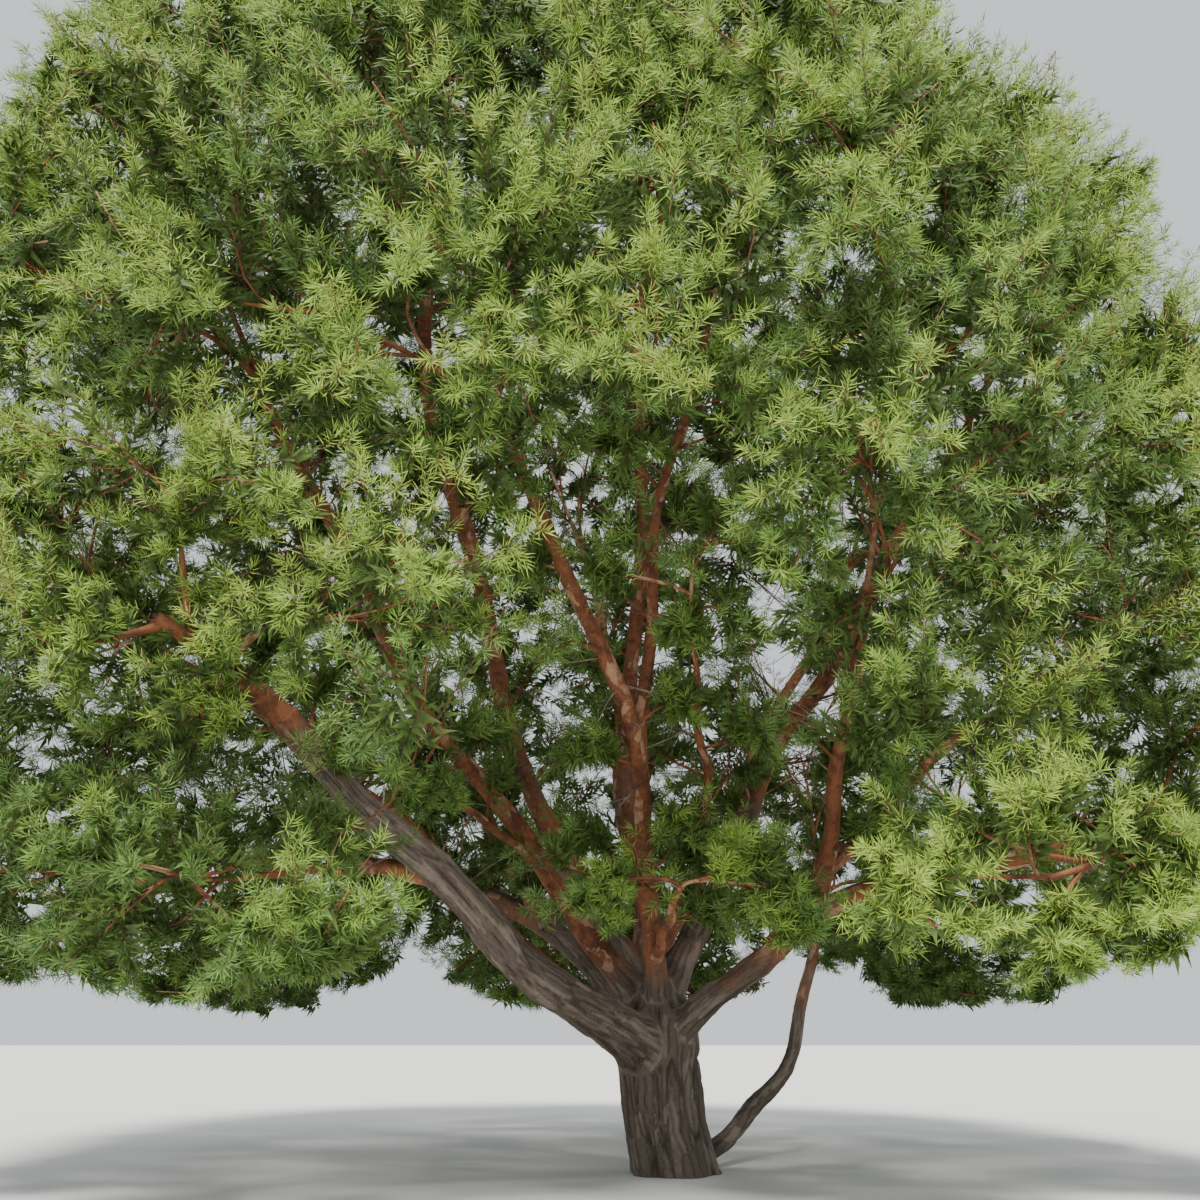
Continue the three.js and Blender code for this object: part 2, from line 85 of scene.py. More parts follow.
TIERS = {
    "low": (3.0, 5, (2.05, 1.75, 1.35), [
        (234, 5.9, -0.15, 0.95), (204, 6.5, 0.2, 1.05), (305, 6.25, -0.25, 0.8), (338, 6.4, 0.7, 1.0),
        (30, 6.2, 0.4, 1.35), (90, 6.2, 0.4, 1.4), (150, 6.3, 0.4, 1.4),
    ]),
    "middle": (6.1, 5, (2.05, 1.75, 1.6), [
        (231, 6.15, -0.95, 0.85), (200, 6.7, 1.1, 1.0), (305, 5.5, 0.3, 0.95), (333, 6.3, 0.0, 1.05),
        (2, 6.4, 0.2, 1.15), (58, 6.4, 0.2, 1.3), (118, 6.4, 0.2, 1.3), (172, 6.6, 0.2, 1.2),
    ]),
    "high": (8.9, 5, (2.15, 1.8, 1.65), [
        (213, 6.5, 0.5, 1.0), (241, 5.7, -0.6, 1.0), (272, 5.5, -0.9, 0.95), (301, 5.7, -0.3, 1.0),
        (335, 6.0, 0.0, 1.0), (22, 6.4, 0.3, 1.25), (85, 6.4, 0.3, 1.35), (148, 6.4, 0.3, 1.35),
    ]),
    "upper": (11.8, 5, (2.25, 1.9, 1.7), [
        (210, 6.5, 0.9, 0.85), (243, 4.9, -0.1, 1.0), (280, 4.7, -0.2, 1.0), (311, 4.6, 0.4, 0.95),
        (335, 6.1, -0.4, 0.85), (38, 5.4, 0.3, 1.25), (100, 5.4, 0.3, 1.25), (160, 5.4, 0.3, 1.25),
    ]),
    "top": (14.5, 5, (2.5, 2.1, 1.8), [(330, 2.3, 0.0, 1.0), (90, 2.3, 0.0, 1.05), (210, 2.5, 0.0, 1.0)]),
    "inner": (3.0, 3, (1.0, 0.8, 0.75), [
        (268, 2.6, 0.05, 1.0), (283, 4.1, 3.0, 1.2), (232, 3.3, 1.3, 1.05), (300, 3.45, -0.08, 1.0),
    ]),
}

LIMBS = [
    ("west_limb", "trunk", 0.62, ["middle_1"], 0.31, -0.03, -0.05),
    ("north_west_limb", "trunk", 0.84, ["high_1", "upper_1"], 0.15, 0.02, -0.03),
    ("rear_limb", "trunk", 0.86, ["upper_2", "top_3"], 0.17, 0.12, 0.0),
    ("leader_limb", "trunk", 0.86, ["top_1", "top_2"], 0.16, -0.03, 0.0),
    ("front_limb", "trunk", 0.8, ["high_2", "high_3"], 0.15, -0.06, 0.03),
    ("north_east_limb", "trunk", 0.78, ["high_5", "upper_5"], 0.19, -0.05, 0.05),
    ("east_limb", "trunk", 0.62, ["low_3", "low_4"], 0.19, 0.0, 0.1),
    ("low_east_limb", "trunk", 0.05, ["low_5", "middle_6"], 0.115, 0.0, -0.18),
    ("back_west_limb", "trunk", 0.76, ["low_7", "middle_7"], 0.2, 0.0, 0.05),
    ("back_limb", "trunk", 0.82, ["high_7", "upper_7"], 0.19, 0.0, 0.03),
    ("back_east_limb", "trunk", 0.74, ["low_6"], 0.2, 0.0, 0.05),
    ("west_low_bough", "west_limb", 0.62, ["low_1", "low_2"], 0.12, 0.0, 0.05),
    ("west_far_bough", "west_limb", 0.3, ["middle_2", "middle_8"], 0.14, 0.0, 0.04),
    ("west_inner_bough", "north_west_limb", 0.2, ["inner_3"], 0.075, 0.0, 0.05),
    ("front_inner_bough", "front_limb", 0.12, ["inner_1", "inner_4"], 0.08, 0.0, 0.0),
    ("front_red_bough", "front_limb", 0.45, ["upper_3", "upper_4"], 0.09, 0.05, 0.0),
    ("east_inner_bough", "north_east_limb", 0.22, ["inner_2"], 0.075, 0.0, 0.0),
    ("east_red_bough", "east_limb", 0.48, ["middle_3", "high_4"], 0.13, 0.0, 0.0),
    ("east_far_bough", "east_limb", 0.36, ["middle_4", "middle_5"], 0.12, 0.0, 0.05),
    ("back_east_high_bough", "back_east_limb", 0.25, ["high_6", "upper_6"], 0.13, 0.0, 0.0),
    ("back_west_high_bough", "back_west_limb", 0.3, ["high_8", "upper_8"], 0.13, 0.0, 0.0),
]
LIMB_TAPER = 0.5
TAPER_POWER = 0.85
COLLAR = 0.25
COLLAR_REACH = 0.1
WANDER = 0.012
WANDER_TURNS = 1.5
TIP_DEPTH = 0.9
STEM_SHARE = 0.72
STEM_TAPER = 0.4
STEM_BEND = 0.35
TWIN_SHARE = 0.62
TWIN_OFFSET = 1.1
HEART_OUT = 0.2
TWIG_FIRST = 0.4
TWIG_LAST = 0.95
TWIG_SHARE = 0.75
TWIG_TIP = 0.022
TWIG_REACH = 0.52
AIM_KEY = 50
GOLDEN_ANGLE = np.pi * (3 - np.sqrt(5))
print(len(LIMBS), "limbs and", sum(len(tier[3]) for tier in TIERS.values()), "masses")

# %% [markdown]
# ## Chance without a dice cup
# A tree looks alive because no two twigs agree, but the script has to give the same tree every time.
# Instead of a random generator, each choice asks a hash of whole numbers, such as the mass, the twig
# and the needle. The same keys always give the same number, in any order, and whole arrays of keys
# are hashed at once.

# %% Hashed chance and smooth noise
WORD = np.uint64(0xFFFFFFFF)


def chance(*keys):
    """A number from 0 to 1 for each set of whole-number keys: each key is mixed into a 32-bit hash by
    an exclusive or, a product and a shift. The rule is the one that placed the solids."""
    keys = [np.asarray(key, np.int64).astype(np.uint64) & WORD for key in keys]
    value = np.full(np.broadcast_shapes(*(key.shape for key in keys)), 2166136261, np.uint64)
    for key in keys:
        value = (value ^ key) * np.uint64(16777619) & WORD
        value = (value ^ (value >> np.uint64(15))) * np.uint64(2246822507) & WORD
        value = value ^ (value >> np.uint64(13))
    return value / 4294967296.0


def spread(*keys):
    """Like chance, but from -1 to 1."""
    return 2 * chance(*keys) - 1


def scatter(seed, *keys):
    """Three numbers from -1 to 1 for each set of keys, one for each axis."""
    return np.stack([spread(*keys, seed + axis) for axis in range(3)], axis=-1)


def noise(points, size, seed):
    """Smooth noise from -1 to 1: hashed values at the corners of cubes of the given size, mixed by
    each point's place in its cube, with the mix eased so that the slope is zero at the corners."""
    place = np.asarray(points) / size
    cell = np.floor(place).astype(np.int64)
    share = place - cell
    share = share * share * (3 - 2 * share)
    total = np.zeros(place.shape[:-1])
    for corner in np.ndindex(2, 2, 2):
        weight = np.prod(np.where(corner, share, 1 - share), axis=-1)
        total += weight * spread(*(cell[..., axis] + corner[axis] for axis in range(3)), seed)
    return total


def ease(low, high, value):
    """0 below low, 1 above high, and a smooth step between."""
    share = np.clip((value - low) / (high - low), 0, 1)
    return share * share * (3 - 2 * share)


def unit(vectors):
    """Vectors over their own lengths."""
    return vectors / np.linalg.norm(vectors, axis=-1, keepdims=True)


print("chance of keys 1, 2, 3 is", round(float(chance(1, 2, 3)), 6))

# %% [markdown]
# ## The space of each mass
# Needles crowd into masses with gaps between them, because each mass belongs to one bough and shades
# its neighbours. Each mass has an ellipsoid turned to face outwards from the crown's axis, cut by a
# plane wherever it meets a neighbour. A point is inside if it is inside the ellipsoid and on the near
# side of every plane, so whole arrays of points can be tested or drawn back with a few products.

# %% Ellipsoids and the planes between them
mass_names, centres, axes, halves, twig_counts = [], [], [], [], []
for tier_name, (tier_height, tier_twigs, tier_half, rows) in TIERS.items():
    for number, (bearing, reach, lift, size) in enumerate(rows, 1):
        angle = np.radians(bearing)
        outward = np.array([np.cos(angle), np.sin(angle), 0.0])
        mass_names.append(f"{tier_name}_{number}")
        centres.append(CROWN_AXIS + outward * reach + [0, 0, tier_height + lift])
        axes.append([[-np.sin(angle), np.cos(angle), 0.0], outward, [0.0, 0.0, 1.0]])
        halves.append(np.array(tier_half) * size)
        twig_counts.append(tier_twigs)
centres, axes, halves = (np.array(v) for v in (centres, axes, halves))
MASSES = len(mass_names)


def radius_along(mass, directions):
    """How far the ellipsoid of a mass reaches from its centre along unit directions: one over the
    length of the direction measured in half sizes."""
    parts = np.einsum("...ij,...j->...i", axes[mass], directions) / halves[mass]
    return 1 / np.linalg.norm(parts, axis=-1)


def planes_between():
    """For each pair of masses that are near each other, the unit normal from the first to the second
    and the plane's offset, which shares their distance by how far each one reaches."""
    between = centres[None] - centres[:, None]
    distance = np.linalg.norm(between, axis=-1)
    normals = between / np.maximum(distance, 1e-9)[..., None]
    own = radius_along(np.arange(MASSES)[:, None], normals)
    share = own / (own + own.T)
    offsets = np.einsum("ijk,ik->ij", normals, centres) + share * distance
    largest = halves.max(axis=1)
    apart = (distance > largest[:, None] + largest[None]) | np.eye(MASSES, dtype=bool)
    return normals, np.where(apart, np.inf, offsets)


plane_normals, plane_offsets = planes_between()


def reach_within(mass, starts, directions, room=1):
    """How far a ray runs before it leaves its mass's space: the ellipsoid gives a quadratic in the
    distance, and each plane ahead gives its gap over the speed of approach. Room widens the
    ellipsoid, but not the planes."""
    start = np.einsum("...ij,...j->...i", axes[mass], starts - centres[mass]) / (halves[mass] * room)
    step = np.einsum("...ij,...j->...i", axes[mass], directions) / (halves[mass] * room)
    a = (step * step).sum(-1)
    b = (start * step).sum(-1)
    reach = (np.sqrt(np.maximum(b * b - a * ((start * start).sum(-1) - 1), 0)) - b) / a
    speed = np.einsum("...kj,...j->...k", plane_normals[mass], directions)
    gap = plane_offsets[mass] - SPACE_MARGIN - np.einsum("...kj,...j->...k", plane_normals[mass], starts)
    ahead = np.where(speed > 1e-9, gap / np.maximum(speed, 1e-9), np.inf)
    return np.maximum(np.minimum(reach, ahead.min(-1)), 0)


CROWN_MIDDLE = np.array([-0.9, 0.3, 6.8])
CROWN_RADII = np.array([8.3, 7.9, 9.4])
CROWN_LEAN = 0.16
SHOULDERS = 2.5
PAST_SOLIDS = 0.2
ROOM_RIM, ROOM_UP, ROOM_DOWN = 1.3, 1.25, 0.85
wide_room, high_room = np.full(MASSES, ROOM_RIM), np.full(MASSES, ROOM_UP)
high_room[[name.startswith("top") for name in mass_names]] = 1.0
inner_masses = np.array([i for i, name in enumerate(mass_names) if name.startswith("inner")])
wide_room[inner_masses] = high_room[inner_masses] = 1.0


def fine_reach(mass, directions):
    """How far fine twigs may grow from a mass's centre. Along the rim and upwards that is farther
    than in the solids, so that neighbours close up, and downwards it is less far."""
    tall = np.where(directions[..., 2] > 0, high_room[mass], ROOM_DOWN)
    room = np.stack(np.broadcast_arrays(wide_room[mass], 1.0, tall), axis=-1)
    return reach_within(mass, centres[mass], directions, room)


def crown_depth(points):
    """0 in the middle of the crown and 1 on a great dome that just holds it, and that leans to the
    left with height. It is an ellipsoid with broader shoulders: the sum of each offset over its radius
    to the power SHOULDERS, then the root of that power."""
    offset = points - CROWN_MIDDLE
    lean = offset[..., 2:] * [CROWN_LEAN, 0, 0]
    return (np.abs((offset + lean) / CROWN_RADII) ** SHOULDERS).sum(axis=-1) ** (1 / SHOULDERS)


def drawn_in(mass, points, share=0.97):
    """Points drawn back towards their mass's centre until they are inside its room for fine twigs."""
    offset = points - centres[mass]
    length = np.maximum(np.linalg.norm(offset, axis=-1), 1e-9)
    limit = share * fine_reach(mass, offset / length[..., None])
    return centres[mass] + offset * np.minimum(1, limit / length)[..., None]


print("a mass reaches", halves.min().round(2), "to", halves.max().round(2), "m from its middle")

# %% [markdown]
# ## Where the limbs run
# A limb is a bowed line with a slow wander, which a bend in each year's growth leaves behind. It
# thins towards its tip, and swells into a collar where it leaves its carrier. Its tip is the first
# point on the way to its masses that lies inside one of them. Each curve is kept as a small bundle of
# numbers, and worked out for as many places along it as a later step needs.

# %% Curves of the trunk and the limbs


class Curve:
    """A bowed and wandering line from a foot to a tip, with its radius."""

    def __init__(self, start, tip, side_bow, up_bow, radius, key):
        """Keeps the span, the two ways square to it that it bows in, and a wander by its key."""
        self.start, self.span, self.radius = start, tip - start, radius
        self.side_bow, self.up_bow = side_bow, up_bow
        self.length = np.linalg.norm(self.span)
        side = np.cross(self.span, [0, 0, 1])
        if np.linalg.norm(side) < 0.2 * self.length:
            side = np.array([1.0, 0.0, 0.0])
        self.side = unit(side)
        self.lift = unit(np.cross(self.side, self.span))
        self.phase = 2 * np.pi * float(chance(key, 1))
        self.turns = WANDER_TURNS + float(chance(key, 2))

    def point(self, share):
        """The straight span, plus a parabola's bow and a corkscrew wander that both die out at the
        ends."""
        s = np.asarray(share, float)[..., None]
        bow = 4 * s * (1 - s) * self.length
        wave = WANDER * self.length * np.sin(np.pi * s)
        angle = self.phase + 2 * np.pi * self.turns * s
        return (self.start + self.span * s + self.side * (bow * self.side_bow + wave * np.cos(angle))
                + self.lift * (bow * self.up_bow + wave * np.sin(angle)))

    def tangent(self, share):
        """The unit way from just before a share to just after it."""
        s = np.asarray(share, float)
        return unit(self.point(np.minimum(s + 0.01, 1)) - self.point(np.maximum(s - 0.01, 0)))

    def cross_axes(self, share):
        """The tangent, the way square to it on the curve's own side, and the way square to both."""
        tangent = self.tangent(share)
        right = unit(self.side - tangent * (tangent @ self.side)[:, None])
        return tangent, right, np.cross(tangent, right)

    def radius_at(self, share):
        """The foot's radius, tapered by a power of the share and swollen by a collar near the foot."""
        s = np.asarray(share, float)
        collar = 1 + COLLAR * np.maximum(0, 1 - s / COLLAR_REACH)
        return self.radius * (1 - (1 - LIMB_TAPER) * s ** TAPER_POWER) * collar


def trunk_axis(height):
    """The trunk's middle leans to one side, by less and less with height."""
    height = np.asarray(height, float)
    lean = -LEAN_REACH * (1 - np.exp(-height / LEAN_HEIGHT))
    return np.stack([lean, np.zeros_like(lean), height], axis=-1)


def entry_point(start, fed):
    """The first point, on the way to the fed masses' middle, that is inside one of them."""
    target = centres[fed[0]]
    if len(fed) == 2:
        between = centres[fed[1]] - centres[fed[0]]
        own, other = (radius_along(mass, unit(between)) for mass in fed)
        target = target + between * own / (own + other)
    path = start + np.arange(0.3, 1, 0.005)[:, None] * (target - start)
    depth = [np.linalg.norm((path - centres[mass]) @ axes[mass].T / halves[mass], axis=1)
             for mass in fed]
    inside = np.min(depth, axis=0) < TIP_DEPTH
    return path[np.argmax(inside)] if inside.any() else target


limbs = {}
for row, (name, carrier, at, feeds, radius, side_bow, up_bow) in enumerate(LIMBS, 1):
    fed = [mass_names.index(mass) for mass in feeds]
    start = limbs[carrier].point(at) if carrier in limbs else trunk_axis(at * TRUNK_HEIGHT)
    limbs[name] = Curve(start, entry_point(start, fed), side_bow, up_bow, radius, row)
    limbs[name].fed = fed
    limbs[name].carrier = carrier
print("limbs are", *(f"{limb.length:.1f}" for limb in limbs.values()), "m long")

# %% [markdown]
# ## Tubes, cones and meshes from arrays
# Nearly every woody thing is a ring of points carried along a curve. The rings of hundreds of twigs
# are worked out at once, as one array with a place for the twig, the ring and the side. Writing the
# vertices and faces straight into the mesh is far quicker than adding them one at a time.

# %% Mesh helpers


def put_mesh(name, points, faces, attributes=None, smooth=True):
    """A mesh object from an array of points and a list of arrays of faces, one array for each number
    of corners, with named values for each point."""
    mesh = bpy.data.meshes.new(name)
    points = np.ascontiguousarray(points, np.float32).reshape(-1, 3)
    sides = np.concatenate([np.full(len(group), group.shape[1]) for group in faces])
    corners = np.concatenate([group.ravel() for group in faces]).astype(np.int32)
    starts = np.concatenate([[0], np.cumsum(sides)[:-1]]).astype(np.int32)
    mesh.vertices.add(len(points))
    mesh.vertices.foreach_set("co", points.ravel())
    mesh.loops.add(len(corners))
    mesh.loops.foreach_set("vertex_index", corners)
    mesh.polygons.add(len(sides))
    mesh.polygons.foreach_set("loop_start", starts)
    mesh.polygons.foreach_set("use_smooth", np.full(len(sides), smooth))
    for key, values in (attributes or {}).items():
        layer = mesh.attributes.new(key, "FLOAT", "POINT")
        layer.data.foreach_set("value", np.ascontiguousarray(values, np.float32).ravel())
    mesh.update(calc_edges=True)
    piece = bpy.data.objects.new(name, mesh)
    bpy.context.scene.collection.objects.link(piece)
    return piece


def finish_piece(piece, material, nodes):
    """Gives a piece its material and its place in the frame, hides the solids that it stands for, and
    counts its triangles.
    """
    piece.data.materials.append(material)
    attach(piece, "root")
    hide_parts(*nodes)
    triangles = sum(len(polygon.vertices) - 2 for polygon in piece.data.polygons)
    print(f"{piece.name}: {triangles} triangles")
    return triangles


def bend(starts, knees, ends, rings):
    """Points and unit tangents of quadratic curves: each point mixes the start, the knee and the end
    by the squares and the product of its share and the rest."""
    s = np.linspace(0, 1, rings)[None, :, None]
    a, b, c = starts[:, None], knees[:, None], ends[:, None]
    points = (1 - s) ** 2 * a + 2 * s * (1 - s) * b + s ** 2 * c
    return points, unit((1 - s) * (b - a) + s * (c - b) + 1e-9)


def tube_rings(points, tangents, radii, sides):
    """Rings round each curve, square to it. The first point of a ring lies across the curve's chord
    and the level, and the rest follow at even angles."""
    chord = unit(points[:, -1] - points[:, 0])
    level = np.where(np.abs(chord[:, 2:]) > 0.9, [[1.0, 0.0, 0.0]], [[0.0, 0.0, 1.0]])
    across = np.cross(chord, level)[:, None]
    right = unit(across - tangents * (across * tangents).sum(-1, keepdims=True))
    ahead = np.cross(tangents, right)
    turn = 2 * np.pi * np.arange(sides) / sides
    spoke = right[:, :, None] * np.cos(turn)[:, None] + ahead[:, :, None] * np.sin(turn)[:, None]
    return points[:, :, None] + radii[..., None, None] * spoke


def grid_faces(tubes, rings, sides):
    """Four-sided walls between rings and a many-sided lid on both ends of each tube."""
    first = np.arange(tubes)[:, None, None] * rings * sides
    ring = np.arange(rings - 1)[None, :, None] * sides
    side = np.arange(sides)[None, None, :]
    after = (side + 1) % sides
    walls = np.stack([first + ring + side, first + ring + after,
                      first + ring + after + sides, first + ring + side + sides], axis=-1)
    foot = first[:, 0] + np.arange(sides)[::-1]
    head = first[:, 0] + (rings - 1) * sides + np.arange(sides)
    return [walls.reshape(-1, 4), np.concatenate([foot, head])]


def join(parts):
    """Joins (points, faces, attributes) bundles into one, moving face numbers past earlier points."""
    points = np.concatenate([part[0].reshape(-1, 3) for part in parts])
    starts = np.cumsum([0] + [part[0].size // 3 for part in parts[:-1]])
    groups = {}
    for start, (_, faces, _) in zip(starts, parts):
        for group in faces:
            groups.setdefault(group.shape[1], []).append(group + start)
    faces = [np.concatenate(found) for found in groups.values()]
    values = {key: np.concatenate([part[2][key].ravel() for part in parts]) for key in parts[0][2]}
    return points, faces, values


# %% [markdown]
# ## Bark that is really rough
# Low down, a Scots pine has thick grey-brown bark, parted by deep furrows that run up the trunk and
# seldom cross it. Higher up the bark is thin and orange, and peels in papery flakes a few millimetres
# thick. Two patterns give the ridges: smooth noise that is drawn out along the limb, whose zero lines
# are long wavering furrows, and a pattern of cells, in which a point asks for its nearest and second
# nearest middle on the unrolled bark. The same function dresses the trunk and every limb, with an age
# from 1, thick and ridged, to 0, thin and orange.

# %% Plates, flakes and their relief
PLATE_WIDTH = 0.09
PLATE_TALL = 4.5
FURROW_DEPTH = 0.034
CROSS_FURROW = 0.3
FLUTE_WIDTH = 0.11
FLUTE_TALL = 7.0
FLAKE_WIDTH = 0.15
FLAKE_TALL = 2.0
FLAKE_DEPTH = 0.004
CRACK_SINK, CRACK_SHADE = 0.7, 0.55
PLATE_EDGE, CRACK_EDGE, FLUTE_EDGE = (0.03, 0.34), (0.0, 0.1), (0.0, 0.2)
PLATE_FURROW = 0.8
PLATE_SWAY, FLAKE_SWAY = 0.3, 0.35
PLATE_DRIFT, FLAKE_DRIFT = 0.5, 0.4
SWAY_SIZE, DRIFT_SIZE, GRAIN_SIZE = 0.16, 0.4, 0.035
RIDGE_RISE, PLATE_STEP = 0.014, 0.008
THICK_GRAIN, THIN_GRAIN = 0.004, 0.003
FULL_RELIEF_RADIUS = 0.4
CELL_SWAY = 0.38


def cells(turn, along, count, seed):
    """Cells round a limb: turn runs once round it, along is in cells. Gives how much farther the
    second nearest middle is than the nearest, a value that is the same all over a cell, and how far
    the border between the two cells runs across the limb, from 0 to 1."""
    around = turn * count
    column, row = np.floor(around).astype(np.int64), np.floor(along).astype(np.int64)
    near, near_side, near_up = (np.full(around.shape, start) for start in (9.0, 0.0, 0.0))
    second, second_side, second_up = near.copy(), near_side.copy(), near_up.copy()
    tone = np.zeros(around.shape)
    for step in np.ndindex(3, 3):
        i, j = column + step[0] - 1, row + step[1] - 1
        wrapped = i % count
        side = around - i - 0.5 - CELL_SWAY * spread(wrapped, j, seed)
        up = along - j - 0.5 - CELL_SWAY * spread(wrapped, j, seed + 1)
        distance = np.hypot(side, up)
        closer = distance < near
        next_closer = ~closer & (distance < second)
        second = np.where(closer, near, np.where(next_closer, distance, second))
        second_side = np.where(closer, near_side, np.where(next_closer, side, second_side))
        second_up = np.where(closer, near_up, np.where(next_closer, up, second_up))
        near, near_side, near_up = (np.where(closer, new, old) for new, old in
                                    ((distance, near), (side, near_side), (up, near_up)))
        tone = np.where(closer, chance(wrapped, j, seed + 2), tone)
    crossing = np.abs(second_up - near_up) / np.hypot(second_side - near_side, second_up - near_up)
    return second - near, tone, crossing


def bark(points, turn, along, girth, age, seed):
    """How far the bark stands out, how deep in a furrow or crack it is, which darkens it, partly as its
    own colour and partly as painted shade, and its cell's tone. The pattern is warped by smooth noise, and
    the ridged and the flaking relief are mixed by age."""
    plates = max(5, round(girth / PLATE_WIDTH))
    flakes = max(4, round(girth / FLAKE_WIDTH))
    radius, angle = girth / (2 * np.pi), 2 * np.pi * turn
    drawn_out = np.stack([radius * np.cos(angle), radius * np.sin(angle), along / FLUTE_TALL], axis=-1)
    flute = noise(drawn_out, FLUTE_WIDTH, seed + 5) + 0.4 * noise(drawn_out, 0.4 * FLUTE_WIDTH, seed + 6)
    sway, drift = noise(points, SWAY_SIZE, seed), noise(points, DRIFT_SIZE, seed + 7)
    edge, tone, crossing = cells(
        turn + PLATE_SWAY * sway / plates,
        along / (PLATE_TALL * PLATE_WIDTH) + PLATE_DRIFT * drift, plates, seed)
    thin_edge, thin_tone, _ = cells(
        turn + FLAKE_SWAY * sway / flakes,
        along / (FLAKE_TALL * FLAKE_WIDTH) + FLAKE_DRIFT * drift, flakes, seed + 20)
    plate_furrow = (1 - ease(*PLATE_EDGE, edge)) * (1 - (1 - CROSS_FURROW) * crossing)
    furrow = np.maximum(PLATE_FURROW * plate_furrow, 1 - ease(*FLUTE_EDGE, np.abs(flute)))
    crack = 1 - ease(*CRACK_EDGE, thin_edge)
    fine = noise(points, GRAIN_SIZE, seed + 3)
    scale = np.clip(radius / FULL_RELIEF_RADIUS, 0.3, 1)
    ridges = -FURROW_DEPTH * furrow + RIDGE_RISE * np.abs(flute) + PLATE_STEP * (tone - 0.5)
    thick = scale * ridges + THICK_GRAIN * fine
    thin = FLAKE_DEPTH * (2 * thin_tone - 1 - CRACK_SINK * crack) + THIN_GRAIN * fine
    height = age * thick + (1 - age) * thin
    # Furrows and cracks are darkened: partly their own darker colour, partly painted shade in the
    # recesses.
    furrow_shade_mask = age * furrow + CRACK_SHADE * (1 - age) * crack
    return height, furrow_shade_mask, np.where(age > 0.5, tone, thin_tone)


AGE_RADIUS = 0.14
AGE_SPAN = 0.035
AGE_HEIGHT = 2.6
AGE_RISE = 0.8
SLIM = 0.12
STOUT_LIMB, STOUT, STOUT_AGE = "low_east_limb", 0.22, 2.4


def age_at(name, points, radius):
    """Bark is old on thick wood and near the ground, and young on thin wood, with ragged borders. The
    stout low limb has old bark farther up."""
    low = AGE_RISE * np.maximum(0, AGE_HEIGHT - points[..., 2])
    low = low + (STOUT_AGE if name == STOUT_LIMB else 0)
    ragged = 0.5 * noise(points, 0.5, 11) + 0.3 * noise(points, 0.15, 12)
    return np.clip((radius - AGE_RADIUS) / AGE_SPAN + low + ragged, 0, 1)


def skin_radius(name, share):
    """The limb's radius, slimmer by a share once it is clear of its foot, or stouter."""
    slim = -STOUT if name == STOUT_LIMB else SLIM
    return limbs[name].radius_at(share) * (1 - slim * ease(0.05, 0.3, np.asarray(share, float)))


# %% [markdown]
# ## The fork
# The trunk and the feet of its limbs are one skin, with rounded crotches where two limbs part.
# Separate tubes would cut through each other with a hard line. Here the tubes are first merged by a
# voxel remesh, which only has to give the net of faces. Then each vertex is moved onto a smooth union:
# the distance to every limb is mixed so that near a crotch the surfaces flow into each other. The
# relief is added last, along the normals.

# %% Distances to the trunk and the limbs' feet
STUB_LENGTH = 1.5
STUB_SIDES = 32
SAMPLE_STEP = 0.04
BLEND = 0.045
VOXEL = 0.02
trunk_limbs = [name for name, limb in limbs.items() if limb.carrier == "trunk"]
stub_share = {name: min(1.0, (STUB_LENGTH + 2.5 * limbs[name].radius) / limbs[name].length)
              for name in trunk_limbs}


def trunk_radius(angle, height):
    """Radius by rows of height, with five low ribs that stand out more in the root flare, and a dome
    above the last row."""
    depth = RIB_DEPTH + FLARE_DEPTH * np.exp(-np.maximum(height, 0) / FLARE_HEIGHT)
    dome = np.sqrt(np.clip(1 - ((height - TRUNK_HEIGHT) / 0.25) ** 2, 0, 1))
    radius = np.interp(height, TRUNK_ROWS[:, 0], TRUNK_ROWS[:, 1])
    radius = radius * np.where(height > TRUNK_HEIGHT, dome, 1)
    return radius * (1 + depth * np.cos(RIBS * angle))


def wood_distances(points):
    """Distance from each point to the skin of the trunk and of each limb's foot, and for the nearest
    place on each limb its share along it and its turn round it."""
    offset = points - trunk_axis(points[:, 2])
    angle = np.arctan2(offset[:, 1], offset[:, 0])
    found = [np.hypot(offset[:, 0], offset[:, 1]) - trunk_radius(angle, points[:, 2])]
    shares, turns = [points[:, 2] / TRUNK_HEIGHT], [angle / (2 * np.pi) + 0.5]
    for name in trunk_limbs:
        limb = limbs[name]
        share = np.arange(0, stub_share[name] + 1e-6, SAMPLE_STEP / limb.length)
        middle, radius = limb.point(share), skin_radius(name, share)
        apart = np.linalg.norm(points[:, None] - middle[None], axis=-1) - radius
        nearest = apart.argmin(axis=1)
        _, right, ahead = (way[nearest] for way in limb.cross_axes(share))
        out = points - middle[nearest]
        found.append(np.take_along_axis(apart, nearest[:, None], axis=1)[:, 0])
        shares.append(share[nearest])
        turns.append(np.arctan2((out * ahead).sum(1), (out * right).sum(1)) / (2 * np.pi) + 0.5)
    return np.array(found), np.array(shares), np.array(turns)


def limb_rings(limb, first, last, step, sides):
    """Rings from one share to another of a limb, with the first ring point towards its side."""
    share = np.linspace(first, last, max(2, round((last - first) * limb.length / step) + 1))
    _, right, ahead = limb.cross_axes(share)
    turn = np.arange(sides) / sides
    angle = 2 * np.pi * (turn - 0.5)
    spoke = right[:, None] * np.cos(angle)[:, None] + ahead[:, None] * np.sin(angle)[:, None]
    return share, turn, limb.point(share), spoke


